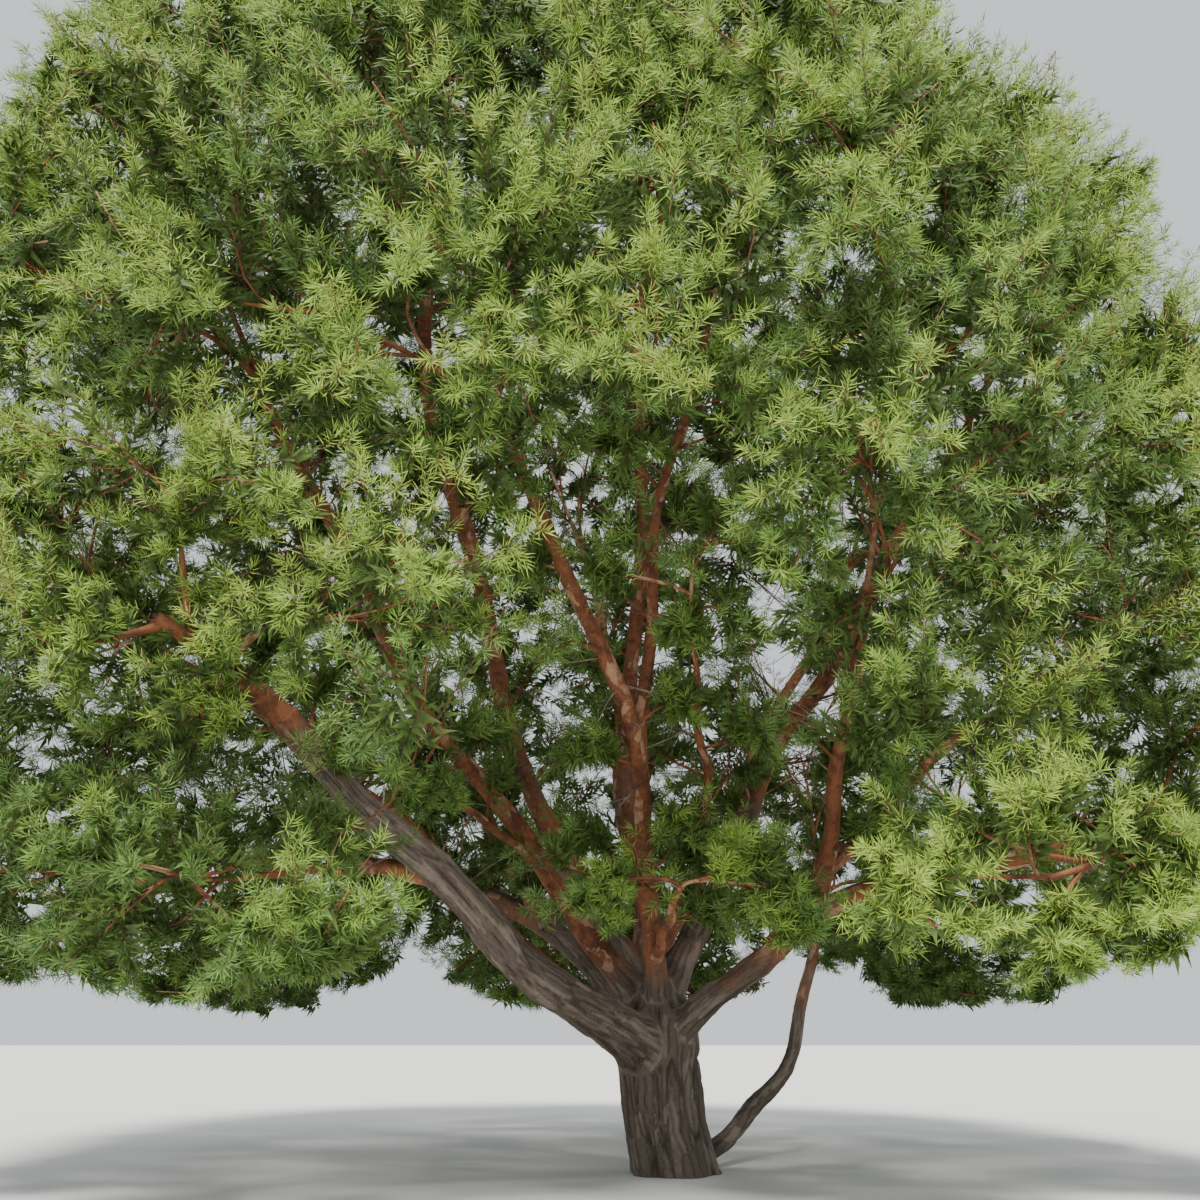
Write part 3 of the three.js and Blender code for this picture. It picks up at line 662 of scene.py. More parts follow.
def fork_net():
    """The trunk and the limbs' feet as crossing tubes, merged by a voxel remesh and cut at the
    ground."""
    height = np.linspace(-0.12, TRUNK_HEIGHT + 0.22, 40)
    turn = np.linspace(-np.pi, np.pi, 60, endpoint=False)
    reach = trunk_radius(turn[None], height[:, None])
    flat = np.stack([reach * np.cos(turn), reach * np.sin(turn), np.zeros_like(reach)], axis=-1)
    parts = [(flat + trunk_axis(height)[:, None], grid_faces(1, len(height), len(turn)), {})]
    for name in trunk_limbs:
        limb = limbs[name]
        share, _, middle, spoke = limb_rings(limb, 0, stub_share[name], 0.05, STUB_SIDES)
        rings = middle[:, None] + spoke * skin_radius(name, share)[:, None, None]
        parts.append((rings, grid_faces(1, len(share), STUB_SIDES), {}))
    points, faces, _ = join(parts)
    rough = put_mesh("rough", points, faces)
    remesh = rough.modifiers.new("merge", "REMESH")
    remesh.mode = "VOXEL"
    remesh.voxel_size = VOXEL
    graph = bpy.context.evaluated_depsgraph_get()
    merged = bpy.data.meshes.new_from_object(rough.evaluated_get(graph))
    bpy.data.objects.remove(rough)
    net = bmesh.new()
    net.from_mesh(merged)
    bmesh.ops.bisect_plane(net, geom=net.verts[:] + net.edges[:] + net.faces[:], plane_co=(0, 0, 0),
                           plane_no=(0, 0, 1), clear_inner=True)
    net.to_mesh(merged)
    net.free()
    return merged


def mesh_points(mesh, kind="co"):
    """The places of a mesh's points as rows of an array, or their normals."""
    values = np.empty(len(mesh.vertices) * 3, np.float32)
    (mesh.vertices if kind == "co" else mesh.vertex_normals).foreach_get(kind, values)
    return values.reshape(-1, 3).astype(float)


fork_mesh = fork_net()
print("the fork's net has", len(fork_mesh.polygons), "faces")

# %% Smooth union and relief of the fork
SETTLE_ROUNDS = 3
SETTLE_MOST = 0.05
CROTCH_FADE = 0.05
GROUND_FADE = 0.05
LUMP_SIZES = (0.45, 0.2)
FORK_LUMPS = (0.02, 0.012)
fork_points = mesh_points(fork_mesh)
for _ in range(SETTLE_ROUNDS):
    distances, _, _ = wood_distances(fork_points)
    united = -BLEND * np.log(np.exp(-distances / BLEND).sum(axis=0))
    fork_mesh.update()
    move = mesh_points(fork_mesh, "vector") * -np.clip(united, -SETTLE_MOST, SETTLE_MOST)[:, None]
    move[fork_points[:, 2] < 0.001, 2] = 0
    fork_points = fork_points + move
    fork_points[:, 2] = np.maximum(fork_points[:, 2], 0)
    fork_mesh.vertices.foreach_set("co", fork_points.astype(np.float32).ravel())
fork_mesh.update()

distances, shares, turns = wood_distances(fork_points)
order = np.argsort(distances, axis=0)
owner = order[0]
pick = np.arange(len(owner))
lead = distances[order[1], pick] - distances[owner, pick]
fork_age, fork_relief, fork_furrow_shade, fork_tone = (np.zeros(len(owner)) for _ in range(4))
for number, name in enumerate(["trunk"] + trunk_limbs):
    mine = owner == number
    if not mine.any():
        continue
    share, turn, place = shares[number][mine], turns[number][mine], fork_points[mine]
    if name == "trunk":
        age, along, girth = np.ones(mine.sum()), place[:, 2], 2 * np.pi * TRUNK_ROWS[:, 1].mean()
    else:
        limb = limbs[name]
        age = age_at(name, place, limb.radius_at(share))
        along, girth = share * limb.length, 2 * np.pi * limb.radius
    fork_relief[mine], fork_furrow_shade[mine], fork_tone[mine] = bark(
        place, turn, along, girth, age, 100 * number)
    fork_age[mine] = age
fade = ease(0.0, CROTCH_FADE, lead)
lumps = sum(depth * noise(fork_points, size, seed)
            for depth, size, seed in zip(FORK_LUMPS, LUMP_SIZES, (5, 6)))
fork_mesh.update()
push = mesh_points(fork_mesh, "vector") * (fork_relief * fade + lumps)[:, None]
push[:, 2] *= ease(0, GROUND_FADE, fork_points[:, 2])
fork_points = fork_points + push
fork_points[:, 2] = np.maximum(fork_points[:, 2], 0)
print("the fork's relief runs from", fork_relief.min().round(3), "to", fork_relief.max().round(3), "m")

# %% [markdown]
# ## What bark looks like
# One group of nodes mixes every bark colour, and each material gives it colours of its own. It reads the
# values that the relief left on the mesh: age, furrow and tone. Grey-brown plates have pinkish scale
# faces, and their furrows and the cracks between flakes are darkened: partly the bark's own darker colour
# there, partly painted shade in these recesses. Young bark runs from orange to rust, with pale edges where
# a flake has peeled. Fine grain comes from noise on Object coordinates, which stays put when the camera
# moves, and its low places are darkened too, partly as painted shade.

# %% Node helpers and the bark group


def node(tree, kind, links=None, **settings):
    """Adds a node, sets its properties, and sets or links its inputs, by name or by number."""
    made = tree.nodes.new("ShaderNode" + kind)
    for key, value in settings.items():
        setattr(made, key, value)
    for key, value in (links or {}).items():
        if isinstance(value, bpy.types.NodeSocket):
            tree.links.new(value, made.inputs[key])
        else:
            made.inputs[key].default_value = value
    return made


def mix(tree, factor, first, second):
    """The mixed colour of two colours."""
    return node(tree, "Mix", {0: factor, 6: first, 7: second}, data_type="RGBA").outputs[2]


def ramp(tree, value, low, high, start=0.0, end=1.0):
    """A value eased from one range to another, and held at its ends."""
    links = {0: value, 1: low, 2: high, 3: start, 4: end}
    return node(tree, "MapRange", links, interpolation_type="SMOOTHSTEP").outputs[0]


def grain(tree, scale, detail=4.0, roughness=0.6):
    """Noise on Object coordinates, from 0 to 1."""
    place = node(tree, "TexCoord").outputs["Object"]
    links = {"Vector": place, "Scale": scale, "Detail": detail, "Roughness": roughness}
    return node(tree, "TexNoise", links).outputs[0]


def math_node(tree, operation, first, second):
    """A sum, difference or product of two values."""
    return node(tree, "Math", {0: first, 1: second}, operation=operation).outputs[0]


def new_group(name, inputs, outputs):
    """A node group with named inputs, each with a default, and named outputs."""
    group = bpy.data.node_groups.new(name, "ShaderNodeTree")
    for socket, default in inputs.items():
        kind = "NodeSocketFloat" if isinstance(default, float) else "NodeSocketColor"
        made = group.interface.new_socket(name=socket, in_out="INPUT", socket_type=kind)
        made.default_value = default
    for socket, kind in outputs.items():
        group.interface.new_socket(name=socket, in_out="OUTPUT", socket_type="NodeSocket" + kind)
    return group, group.nodes.new("NodeGroupInput").outputs, group.nodes.new("NodeGroupOutput").inputs


bark_group, given, result = new_group(
    "Bark layers",
    {"Age": 0.5, "Furrow": 0.0, "Tone": 0.5, "Plate": (0.2, 0.16, 0.13, 1),
     "Scale Face": (0.4, 0.3, 0.25, 1), "Furrow Shade Colour": (0.03, 0.02, 0.015, 1),
     "Orange": (0.5, 0.2, 0.08, 1), "Rust": (0.25, 0.08, 0.03, 1), "Flake": (0.6, 0.35, 0.2, 1)},
    {"Colour": "Color", "Roughness": "Float", "Height": "Float"},
)
broad = grain(bark_group, 2.2, 3.0)
patchy = grain(bark_group, 9.0, 5.0)
fine = grain(bark_group, 70.0, 6.0, 0.7)
face = ramp(bark_group, math_node(bark_group, "ADD", given["Tone"], patchy), 0.8, 1.5)
old_bark = mix(bark_group, face, given["Plate"], given["Scale Face"])
blotch = ramp(bark_group, math_node(bark_group, "ADD", broad, patchy), 0.85, 1.2)
young_bark = mix(bark_group, blotch, given["Orange"], given["Rust"])
peeled = ramp(bark_group, math_node(bark_group, "ADD", given["Tone"], patchy), 1.3, 1.5)
young_bark = mix(bark_group, peeled, young_bark, given["Flake"])
layers = mix(bark_group, given["Age"], young_bark, old_bark)
# The furrow value darkens the colour towards the furrow colour: partly real dark bark, partly painted
# shade in the recesses.
dark = math_node(bark_group, "MULTIPLY", given["Furrow"], 0.7)
layers = mix(bark_group, dark, layers, given["Furrow Shade Colour"])
# The fine grain darkens its own low places, the hollows of the bump: partly dark grain, partly painted
# shade.
layers = mix(bark_group, ramp(bark_group, fine, 0.3, 0.7, 0.45, 0.0), layers, given["Furrow Shade Colour"])
bark_group.links.new(layers, result["Colour"])
bark_group.links.new(ramp(bark_group, given["Age"], 0.0, 1.0, 0.72, 0.92), result["Roughness"])
bark_group.links.new(math_node(bark_group, "ADD", fine, patchy), result["Height"])


def new_material(name, values):
    """A material, its node tree and its shader, whose own sockets take the given values."""
    material = bpy.data.materials.new(name)
    material.use_nodes = True
    shader = material.node_tree.nodes["Principled BSDF"]
    for key, value in values.items():
        shader.inputs[key].default_value = value
    return material, material.node_tree, shader


def place_group(tree, group, attributes, colours):
    """A node group placed in a material, fed by values of the mesh, with the material's colours."""
    values = [node(tree, "Attribute", attribute_name=key.lower()).outputs["Fac"] for key in attributes]
    placed = node(tree, "Group", dict(zip(attributes, values)), node_tree=group)
    for key, value in colours.items():
        placed.inputs[key].default_value = (*value, 1)
    return placed


def bark_material(name, colours, bump):
    """Bark layers in a material's own colours, with a bump of the fine grain, in metres."""
    material, tree, shader = new_material(name, {"Specular IOR Level": 0.25})
    layers = place_group(tree, bark_group, ("Age", "Furrow", "Tone"), PLATED | colours)
    relief = node(tree, "Bump", {"Height": layers.outputs["Height"], "Distance": bump})
    tree.links.new(layers.outputs["Colour"], shader.inputs["Base Color"])
    tree.links.new(layers.outputs["Roughness"], shader.inputs["Roughness"])
    tree.links.new(relief.outputs[0], shader.inputs["Normal"])
    return material


# The furrow colour is near black: partly the bark's own dark furrows, partly painted shade.
PLATED = {"Plate": (0.155, 0.124, 0.100), "Scale Face": (0.275, 0.226, 0.184),
          "Furrow Shade Colour": (0.03, 0.022, 0.017), "Orange": (0.33, 0.122, 0.050),
          "Rust": (0.15, 0.052, 0.026), "Flake": (0.52, 0.29, 0.18)}
trunk_bark = bark_material("plated bark", {}, 0.006)
limb_bark = bark_material("orange flaking bark", {}, 0.003)
twig_bark = bark_material("twig bark", {"Orange": (0.27, 0.13, 0.07), "Rust": (0.13, 0.07, 0.045),
                                        "Flake": (0.3, 0.2, 0.14)}, 0.001)

# %% [markdown]
# ## The fork and the limbs as pieces
# The fork is ready as one mesh. Each limb goes on from it as a tube whose rings are a few
# centimetres apart, so that its flakes and furrows are real steps in the surface. The tube starts
# where the fork's skin ends. A bough starts inside its carrier, so that no gap can show.

# %% Make the fork
corners = np.empty(len(fork_mesh.loops), np.int32)
fork_mesh.loops.foreach_get("vertex_index", corners)
starts = np.empty(len(fork_mesh.polygons), np.int32)
fork_mesh.polygons.foreach_get("loop_start", starts)
side_counts = np.diff(np.append(starts, len(corners)))
fork_faces = [corners[starts[side_counts == n][:, None] + np.arange(n)] for n in np.unique(side_counts)]
# The furrow value on the fork darkens its furrows, partly as painted shade.
fork = put_mesh("fork_and_trunk", fork_points, fork_faces,
                {"age": fork_age, "furrow": fork_furrow_shade * fade, "tone": fork_tone})
lid = bmesh.new()
lid.from_mesh(fork.data)
bmesh.ops.holes_fill(lid, edges=[edge for edge in lid.edges if edge.is_boundary], sides=0)
lid.to_mesh(fork.data)
lid.free()
bpy.data.meshes.remove(fork_mesh)
total = finish_piece(fork, trunk_bark, ["trunk"])

# %% Make the limbs
RING_STEP = 0.035
SIDE_STEP = 0.026
FEWEST_SIDES, MOST_SIDES = 18, 64
TUCK = 0.03
LAST_START = 0.97
LIMB_LUMPS = (0.12, 0.08)
for number, (name, limb) in enumerate(limbs.items(), 1):
    first = 0
    if name in stub_share:
        first = (STUB_LENGTH + 2.5 * limb.radius - TUCK) / limb.length
    if first > LAST_START:
        continue
    sides = int(np.clip(round(2 * np.pi * limb.radius / SIDE_STEP), FEWEST_SIDES, MOST_SIDES))
    share, turn, middle, spoke = limb_rings(limb, first, 1, RING_STEP, sides)
    skin = middle[:, None] + spoke * skin_radius(name, share)[:, None, None]
    wide = np.broadcast_to(share[:, None], skin.shape[:2])
    radius = limb.radius_at(wide)
    age = age_at(name, skin, radius)
    seed = 100 * (trunk_limbs.index(name) + 1 if name in trunk_limbs else 20 + number)
    relief, furrow, tone = bark(skin, np.broadcast_to(turn[None], wide.shape), wide * limb.length,
                                2 * np.pi * limb.radius, age, seed)
    lumps = np.minimum(FORK_LUMPS[0], LIMB_LUMPS[0] * radius) * noise(skin, LUMP_SIZES[0], 5)
    lumps += LIMB_LUMPS[1] * radius * noise(skin, LUMP_SIZES[1], 6)
    skin = skin + spoke * (relief + lumps)[..., None]
    # The furrow value on the limb darkens its furrows and cracks, partly as painted shade.
    piece = put_mesh(name + "_bark", skin, grid_faces(1, len(share), sides),
                     {"age": age, "furrow": furrow, "tone": tone})
    total += finish_piece(piece, limb_bark, [name])
print("trunk and limbs have", total, "triangles")

# %% [markdown]
# ## From stem to twigs
# Inside a mass the wood goes on by the rule that made the solids: a stem runs from the limb's tip to
# the outer half of the mass, and a few twigs leave it towards aims that are spread evenly over the
# mass. The next steps carry this rule further, to branches, branchlets and shoots.

# %% Stems and twigs by the solids' rule


def even_directions(count, turn):
    """Directions spread evenly over a sphere: levels at even steps, each turned on by the golden
    angle."""
    level = 1 - (2 * np.arange(count) + 1) / count
    angle = turn + GOLDEN_ANGLE * np.arange(count)
    flat = np.sqrt(1 - level * level)
    return np.stack([flat * np.cos(angle), flat * np.sin(angle), level], axis=-1)


WOOD_RINGS = 9
STEM_STEPS = 40
STEM_SUNK, STEM_SWELL = 2.2, 1.25
TWIG_END = 0.7
TWIG_POINT = 0.014
wood = []
for limb in limbs.values():
    for slot, mass in enumerate(limb.fed):
        along = limb.tangent(1)
        root = limb.point(1) + along * GAP
        thick = float(limb.radius_at(1)) * STEM_SHARE
        if len(limb.fed) == 2:
            apart = centres[mass] - centres[limb.fed[1 - slot]]
            apart = unit(apart - along * (apart @ along))
            thick *= TWIN_SHARE
            root = root + apart * TWIN_OFFSET * thick
        heart = centres[mass] + axes[mass][1] * HEART_OUT * halves[mass][1]
        knee = root + along * STEM_BEND * np.linalg.norm(heart - root)
        stem_points, _ = bend(root[None], knee[None], heart[None], STEM_STEPS + 1)
        turn = 2 * np.pi * float(chance(mass + 1, AIM_KEY))
        aims = unit(even_directions(twig_counts[mass], turn) * halves[mass] @ axes[mass])
        aims = aims[np.argsort(aims @ unit(heart - knee), kind="stable")]
        place = np.linspace(TWIG_FIRST, TWIG_LAST, len(aims))
        feet = stem_points[0, np.round(place * STEM_STEPS).astype(int)]
        reach = reach_within(mass, np.broadcast_to(centres[mass], aims.shape), aims)
        twig_thick = np.maximum(TWIG_SHARE * (thick * (1 - STEM_TAPER * place)), TWIG_TIP)
        wood.append((
            np.concatenate([(root - along * STEM_SUNK * thick)[None], feet]),
            np.concatenate([knee[None], centres[mass] + aims * TWIG_REACH * TWIG_END * reach[:, None]]),
            np.concatenate([heart[None], centres[mass] + aims * TWIG_END * reach[:, None]]),
            np.concatenate([[STEM_SWELL * thick], twig_thick]),
            np.concatenate([[thick * (1 - STEM_TAPER)], np.full(len(aims), TWIG_POINT)]),
            np.full(len(aims) + 1, mass),
            np.arange(len(aims) + 1) > 0,
        ))
wood_starts, wood_knees, wood_ends, wood_thick, wood_thin, wood_mass, wood_twig = (
    np.concatenate(values) for values in zip(*wood))
wood_points, wood_tangents = bend(wood_starts, wood_knees, wood_ends, WOOD_RINGS)
fall = np.linspace(0, 1, WOOD_RINGS)
wood_radii = wood_thick[:, None] * (1 - fall) + wood_thin[:, None] * fall
print(len(wood_starts), "stems and twigs")

# %% [markdown]
# ## Gaps where the sky shows
# An old crown has gaps where boughs were lost, and in some places the viewer sees the sky through
# them. Each gap is kept as a small ellipse in the view from the eye. No clump is added in it, and
# later nearly all shoots in it are dropped, however far off they are. Noise makes its edge ragged.

# %% Gaps to the sky
SKY_GAPS = np.array([
    (2.5, 16.7, 0.7, 1.1), (4.7, 16.4, 0.8, 0.9), (8.7, 16.5, 1.5, 1.4), (9.4, 11.9, 0.9, 1.3),
    (6.4, 12.0, 0.9, 0.8), (8.6, 19.5, 1.1, 1.2), (6.4, 21.7, 0.6, 0.8), (3.9, 22.8, 0.5, 0.6),
    (10.7, 24.2, 0.8, 0.7), (-1.1, 26.2, 0.7, 0.6), (15.4, 11.7, 1.4, 0.7), (-4.5, 27.2, 0.6, 0.5),
    (-7.0, 25.9, 0.5, 0.5), (-9.4, 22.7, 0.5, 0.5), (-5.5, 22.0, 0.5, 0.5), (-2.3, 23.0, 0.5, 0.5),
    (5.9, 18.3, 0.7, 1.0), (11.0, 14.4, 0.8, 2.0),
])
GAP_ROOM, GAP_CLEAR, GAP_BARE = 0.88, 1.3, 1.1
GAP_RAGGED, GAP_RAGGED_SIZE = 0.35, 0.35
GAP_LEAK = 0.06


def view_angles(points):
    """Bearing to the right of straight ahead and height above the level, seen from the eye, in
    radians."""
    ray = points - EYE
    return np.stack([np.arctan2(ray[..., 0], ray[..., 1]),
                     np.arctan2(ray[..., 2], np.hypot(ray[..., 0], ray[..., 1]))], axis=-1)


def in_gap(points, room=GAP_ROOM):
    """Whether points lie in a gap, seen from the eye: their angles are set against each gap's middle
    and half sizes, in degrees."""
    angle = np.degrees(view_angles(points))[..., None, :]
    ragged = room + GAP_RAGGED * noise(points, GAP_RAGGED_SIZE, 88)
    away = (angle - SKY_GAPS[:, :2]) / SKY_GAPS[:, 2:]
    return np.hypot(away[..., 0], away[..., 1]).min(axis=-1) < ragged


print(len(SKY_GAPS), "gaps, the widest", 2 * SKY_GAPS[:, 2].max(), "degrees across")

# %% [markdown]
# ## Clumps of twigs
# The rule's few twigs leave room between them, so clumps of finer twigs are spread through the
# crown, also between its masses, where neighbours close up. Limbs carry small side sprouts. Where the
# view from the eye is still thin, clumps are added. Each clump is fed by a branch from the nearest
# wood that points its way. In each clump branchlets fan out, and along each branchlet stand the
# shoots that carry the needles.

# %% Places of the clumps
NET_MARGIN = 3
CLUMP_STEP = 1.2
CLUMP_SWAY = 0.4
RIM_SHARE = 0.86
HULL_SHARE = 0.95
INNER_CLUMPS = 3
INNER_REACH = 0.6
SHELL_SHARE = 0.6
SHELL_FOOT = 4.2
SHELL_ROOM = 1.6
OWN_ROOM = 0.75
OUTERMOST = 1.04
FAR = 9


def swayed_net(step, seed):
    """A net of cubes over the crown, with one point in each, moved by chance."""
    low, high = centres.min(0) - NET_MARGIN, centres.max(0) + NET_MARGIN
    grid = np.meshgrid(*(np.arange(a, b, step) for a, b in zip(low, high)), indexing="ij")
    places = np.stack(grid, axis=-1).reshape(-1, 3)
    return places + step * CLUMP_SWAY * scatter(seed, np.arange(len(places)))


def shares_of_masses(places, fine=True):
    """Each place's distance from each mass's middle over how far the mass reaches that way, with its
    room for fine twigs or without. The small inner masses count as far off."""
    every = np.arange(MASSES)[None]
    offset = places[:, None] - centres
    ways = unit(offset)
    reach = fine_reach(every, ways) if fine else reach_within(every, centres[None], ways)
    share = np.linalg.norm(offset, axis=-1) / np.maximum(reach, 1e-6)
    share[:, inner_masses] = FAR
    return share


def clump_net():
    """Middles of the clumps: one at the end of each twig, and then a net over the crown, less the
    points too near a twig's end. A point stays if it is inside the room of a mass, short of its rim,
    or close to one in the crown's shell, and goes to the mass that it is deepest in. The small inner
    masses get even directions."""
    places = swayed_net(CLUMP_STEP, 60)
    share, plain = shares_of_masses(places), shares_of_masses(places, fine=False)
    owner, share, plain = share.argmin(axis=1), share.min(axis=1), plain.min(axis=1)
    depth = crown_depth(places)
    shell = (depth > SHELL_SHARE) & (places[:, 2] > SHELL_FOOT) & (share < SHELL_ROOM)
    kept = (plain < RIM_SHARE) | (((share < RIM_SHARE) | shell) & (depth < HULL_SHARE))
    twig_ends = wood_ends[wood_twig]
    kept &= np.linalg.norm(places[:, None] - twig_ends, axis=-1).min(axis=1) > OWN_ROOM
    kept &= depth < OUTERMOST
    masses, found = [wood_mass[wood_twig], owner[kept]], [twig_ends, places[kept]]
    for mass in inner_masses:
        turn = 2 * np.pi * float(chance(mass, 61))
        way = unit(even_directions(INNER_CLUMPS, turn) * halves[mass] @ axes[mass])
        reach = reach_within(mass, np.broadcast_to(centres[mass], way.shape), way)
        masses.append(np.full(INNER_CLUMPS, mass))
        found.append(centres[mass] + way * INNER_REACH * reach[:, None])
    return np.concatenate(masses), np.concatenate(found)


SPROUT_STEP = 0.5
SPROUT_START, SPROUT_FIRST = 0.25, {"west_limb": 0.55, "low_east_limb": 0.5}
SPROUT_LOWEST = 2.75
SPROUT_HULL = 0.8
SPROUT_LENGTHS = (0.5, 0.8)
SPROUT_AHEAD, SPROUT_RISE = 0.4, 0.25
SPROUT_THICK = 0.45
ANY_TURN = 6.3


def limb_sprouts(places_found):
    """Side sprouts of the limbs: one every half metre, each a golden angle on round the limb from the
    last. Those that would end low, near the crown's rim or inside another clump are left out."""
    sprouts = []
    for number, (name, limb) in enumerate(limbs.items(), 1):
        share = np.arange(SPROUT_FIRST.get(name, SPROUT_START), 0.98, SPROUT_STEP / limb.length)
        rank = np.arange(len(share))
        tangent, right, ahead = limb.cross_axes(share)
        turn = (GOLDEN_ANGLE * rank + ANY_TURN * chance(number, 64))[:, None]
        way = unit(right * np.cos(turn) + ahead * np.sin(turn) + SPROUT_AHEAD * tangent
                   + [0, 0, SPROUT_RISE])
        foot = limb.point(share)
        length = SPROUT_LENGTHS[0] + SPROUT_LENGTHS[1] * chance(number, rank, 65)
        sprouts.append((np.full(len(share), limb.fed[0]), foot, way, foot + way * length[:, None],
                        SPROUT_THICK * limb.radius_at(share)))
    masses, feet, ways, ends, thick = (np.concatenate(values) for values in zip(*sprouts))
    kept = (ends[:, 2] > SPROUT_LOWEST) & (crown_depth(ends) < SPROUT_HULL)
    kept &= np.linalg.norm(ends[:, None] - places_found, axis=-1).min(axis=1) > OWN_ROOM
    return masses[kept], feet[kept], ways[kept], ends[kept], thick[kept]


FILL_STEP = 0.7
FILL_LEAST = 2.5
FILL_ROOM, FILL_LOW_ROOM = 1.3, 1.05
FILL_DEPTH = 0.45
FILL_APART = 0.55
FILL_SPREAD = 0.5


def fill_clumps(masses_found, places_found):
    """More clumps where the view from the eye is thin. How full it is at a point is the sum, over the
    clumps so far, of e to the minus the square of the angle between them over the clump's own angle.
    Points of a finer net inside the masses are tried from the outermost in."""
    places = swayed_net(FILL_STEP, 66)
    share, depth = shares_of_masses(places), crown_depth(places)
    owner, share = share.argmin(axis=1), share.min(axis=1)
    kept = share < np.where(places[:, 2] > SHELL_FOOT, FILL_ROOM, FILL_LOW_ROOM)
    kept &= ~in_gap(places, GAP_CLEAR) & (depth < HULL_SHARE) & (depth > FILL_DEPTH)
    owner, places, depth = owner[kept], places[kept], depth[kept]
    masses, found = list(masses_found), list(places_found)
    angles = view_angles(places_found)
    width = FILL_SPREAD / np.linalg.norm(places_found - EYE, axis=1)
    for row in np.argsort(-depth):
        place = places[row]
        angle = view_angles(place)
        full = np.exp(-(((angles - angle) / width[:, None]) ** 2).sum(axis=1)).sum()
        if full < FILL_LEAST and np.linalg.norm(np.array(found) - place, axis=1).min() > FILL_APART:
            masses.append(owner[row])
            found.append(place)
            angles = np.vstack([angles, angle])
            width = np.append(width, FILL_SPREAD / np.linalg.norm(place - EYE))
    print(len(found) - len(places_found), "clumps more where the view is thin")
    return np.array(masses), np.array(found)


CLUMP_SIZE, INNER_SIZE, SPROUT_SIZE = 0.8, 0.6, 0.55
clump_mass, clump_points = fill_clumps(*clump_net())
sprout_mass, sprout_feet, sprout_ways, sprout_ends, sprout_thick = limb_sprouts(clump_points)
fed_clumps = len(clump_mass)
clump_size = np.concatenate([np.where(np.isin(clump_mass, inner_masses), INNER_SIZE, CLUMP_SIZE),
                             np.full(len(sprout_mass), SPROUT_SIZE)])
clump_mass = np.concatenate([clump_mass, sprout_mass])
clump_points = np.concatenate([clump_points, sprout_ends])
clump_number = np.arange(len(clump_mass))
print(fed_clumps, "clumps in the masses and", len(sprout_mass), "on sprouts of the limbs")

# %% A branch to each clump
BRANCH_RINGS = 6
BRANCH_KNEE = 0.4
BRANCH_SHARE, BRANCH_TIP = 0.85, 0.009
BRANCH_FOOT, BRANCH_MORE = 0.014, 0.02
FIRST_RING = 2
NEAREST, BACKWARDS_FROM, BACKWARDS_COST = 0.45, 0.3, 0.8
UP = np.array([0.0, 0.0, 1.0])


def along_curves(points, tangents, curve, share):
    """Places and directions at shares along some of the curves, between their nearest rings."""
    ring = share * (points.shape[1] - 1)
    low = np.minimum(ring.astype(int), points.shape[1] - 2)
    part = (ring - low)[:, None]
    return points[curve, low] * (1 - part) + points[curve, low + 1] * part, tangents[curve, low]


branch_feet, branch_ways = np.zeros((len(clump_mass), 3)), np.zeros((len(clump_mass), 3))
branch_thick = np.zeros(len(clump_mass))
on_mass = clump_number < fed_clumps
for mass in range(MASSES):
    own_wood, mine = wood_mass == mass, (clump_mass == mass) & on_mass
    place = wood_points[own_wood][:, FIRST_RING:].reshape(-1, 3)
    way = wood_tangents[own_wood][:, FIRST_RING:].reshape(-1, 3)
    span = clump_points[mine][:, None] - place
    distance = np.linalg.norm(span, axis=-1)
    backwards = np.maximum(0, BACKWARDS_FROM - (span * way).sum(-1) / np.maximum(distance, 1e-6))
    nearest = (np.maximum(distance, NEAREST) * (1 + BACKWARDS_COST * backwards)).argmin(axis=1)
    branch_feet[mine], branch_ways[mine] = place[nearest], way[nearest]
    branch_thick[mine] = wood_radii[own_wood][:, FIRST_RING:].ravel()[nearest]
branch_feet[fed_clumps:], branch_ways[fed_clumps:] = sprout_feet, sprout_ways
branch_thick[fed_clumps:] = sprout_thick

span = np.linalg.norm(clump_points - branch_feet, axis=1)
branch_knees = branch_feet + branch_ways * BRANCH_KNEE * span[:, None]
branch_points, branch_tangents = bend(branch_feet, branch_knees, clump_points, BRANCH_RINGS)
fall = np.linspace(0, 1, BRANCH_RINGS)
branch_radii = np.minimum(BRANCH_SHARE * branch_thick, BRANCH_FOOT + BRANCH_MORE * span)[:, None]
branch_radii = branch_radii * (1 - fall) + BRANCH_TIP * fall
print("branches reach up to", span.max().round(2), "m from the wood that feeds them")

# %% Branchlets and shoots
BRANCHLETS = 11
SHOOTS = 12
BRANCHLET_RINGS = 2
LET_FIRST, LET_THICK, LET_THIN = 0.3, 0.0075, 0.0035
LET_SIZES, LET_FLAT = (0.6, 0.5), np.array([1.0, 1.0, 0.85])
LET_KNEE, LET_SAG = 0.35, 0.1
LET_ROOM, SHOOT_ROOM = 0.93, 0.96
SHOOT_FIRST, SHOOT_SPAN = 0.2, 0.78
SHOOT_LENGTHS = (0.1, 0.1)
TIP_LEAN, SIDE_LEAN = 0.15, 1.1


def held_in(mass, points, share, free):
    """Points drawn into their mass's room, unless they are free or well inside the crown, and always
    held near the solids' box."""
    inside = free | (crown_depth(points) < 1) & (points[..., 2] > SHELL_FOOT)
    held = np.where(inside[..., None], points, drawn_in(mass, points, share))
    return np.clip(held, np.array(cad_box[0]) - PAST_SOLIDS, np.array(cad_box[1]) + PAST_SOLIDS)


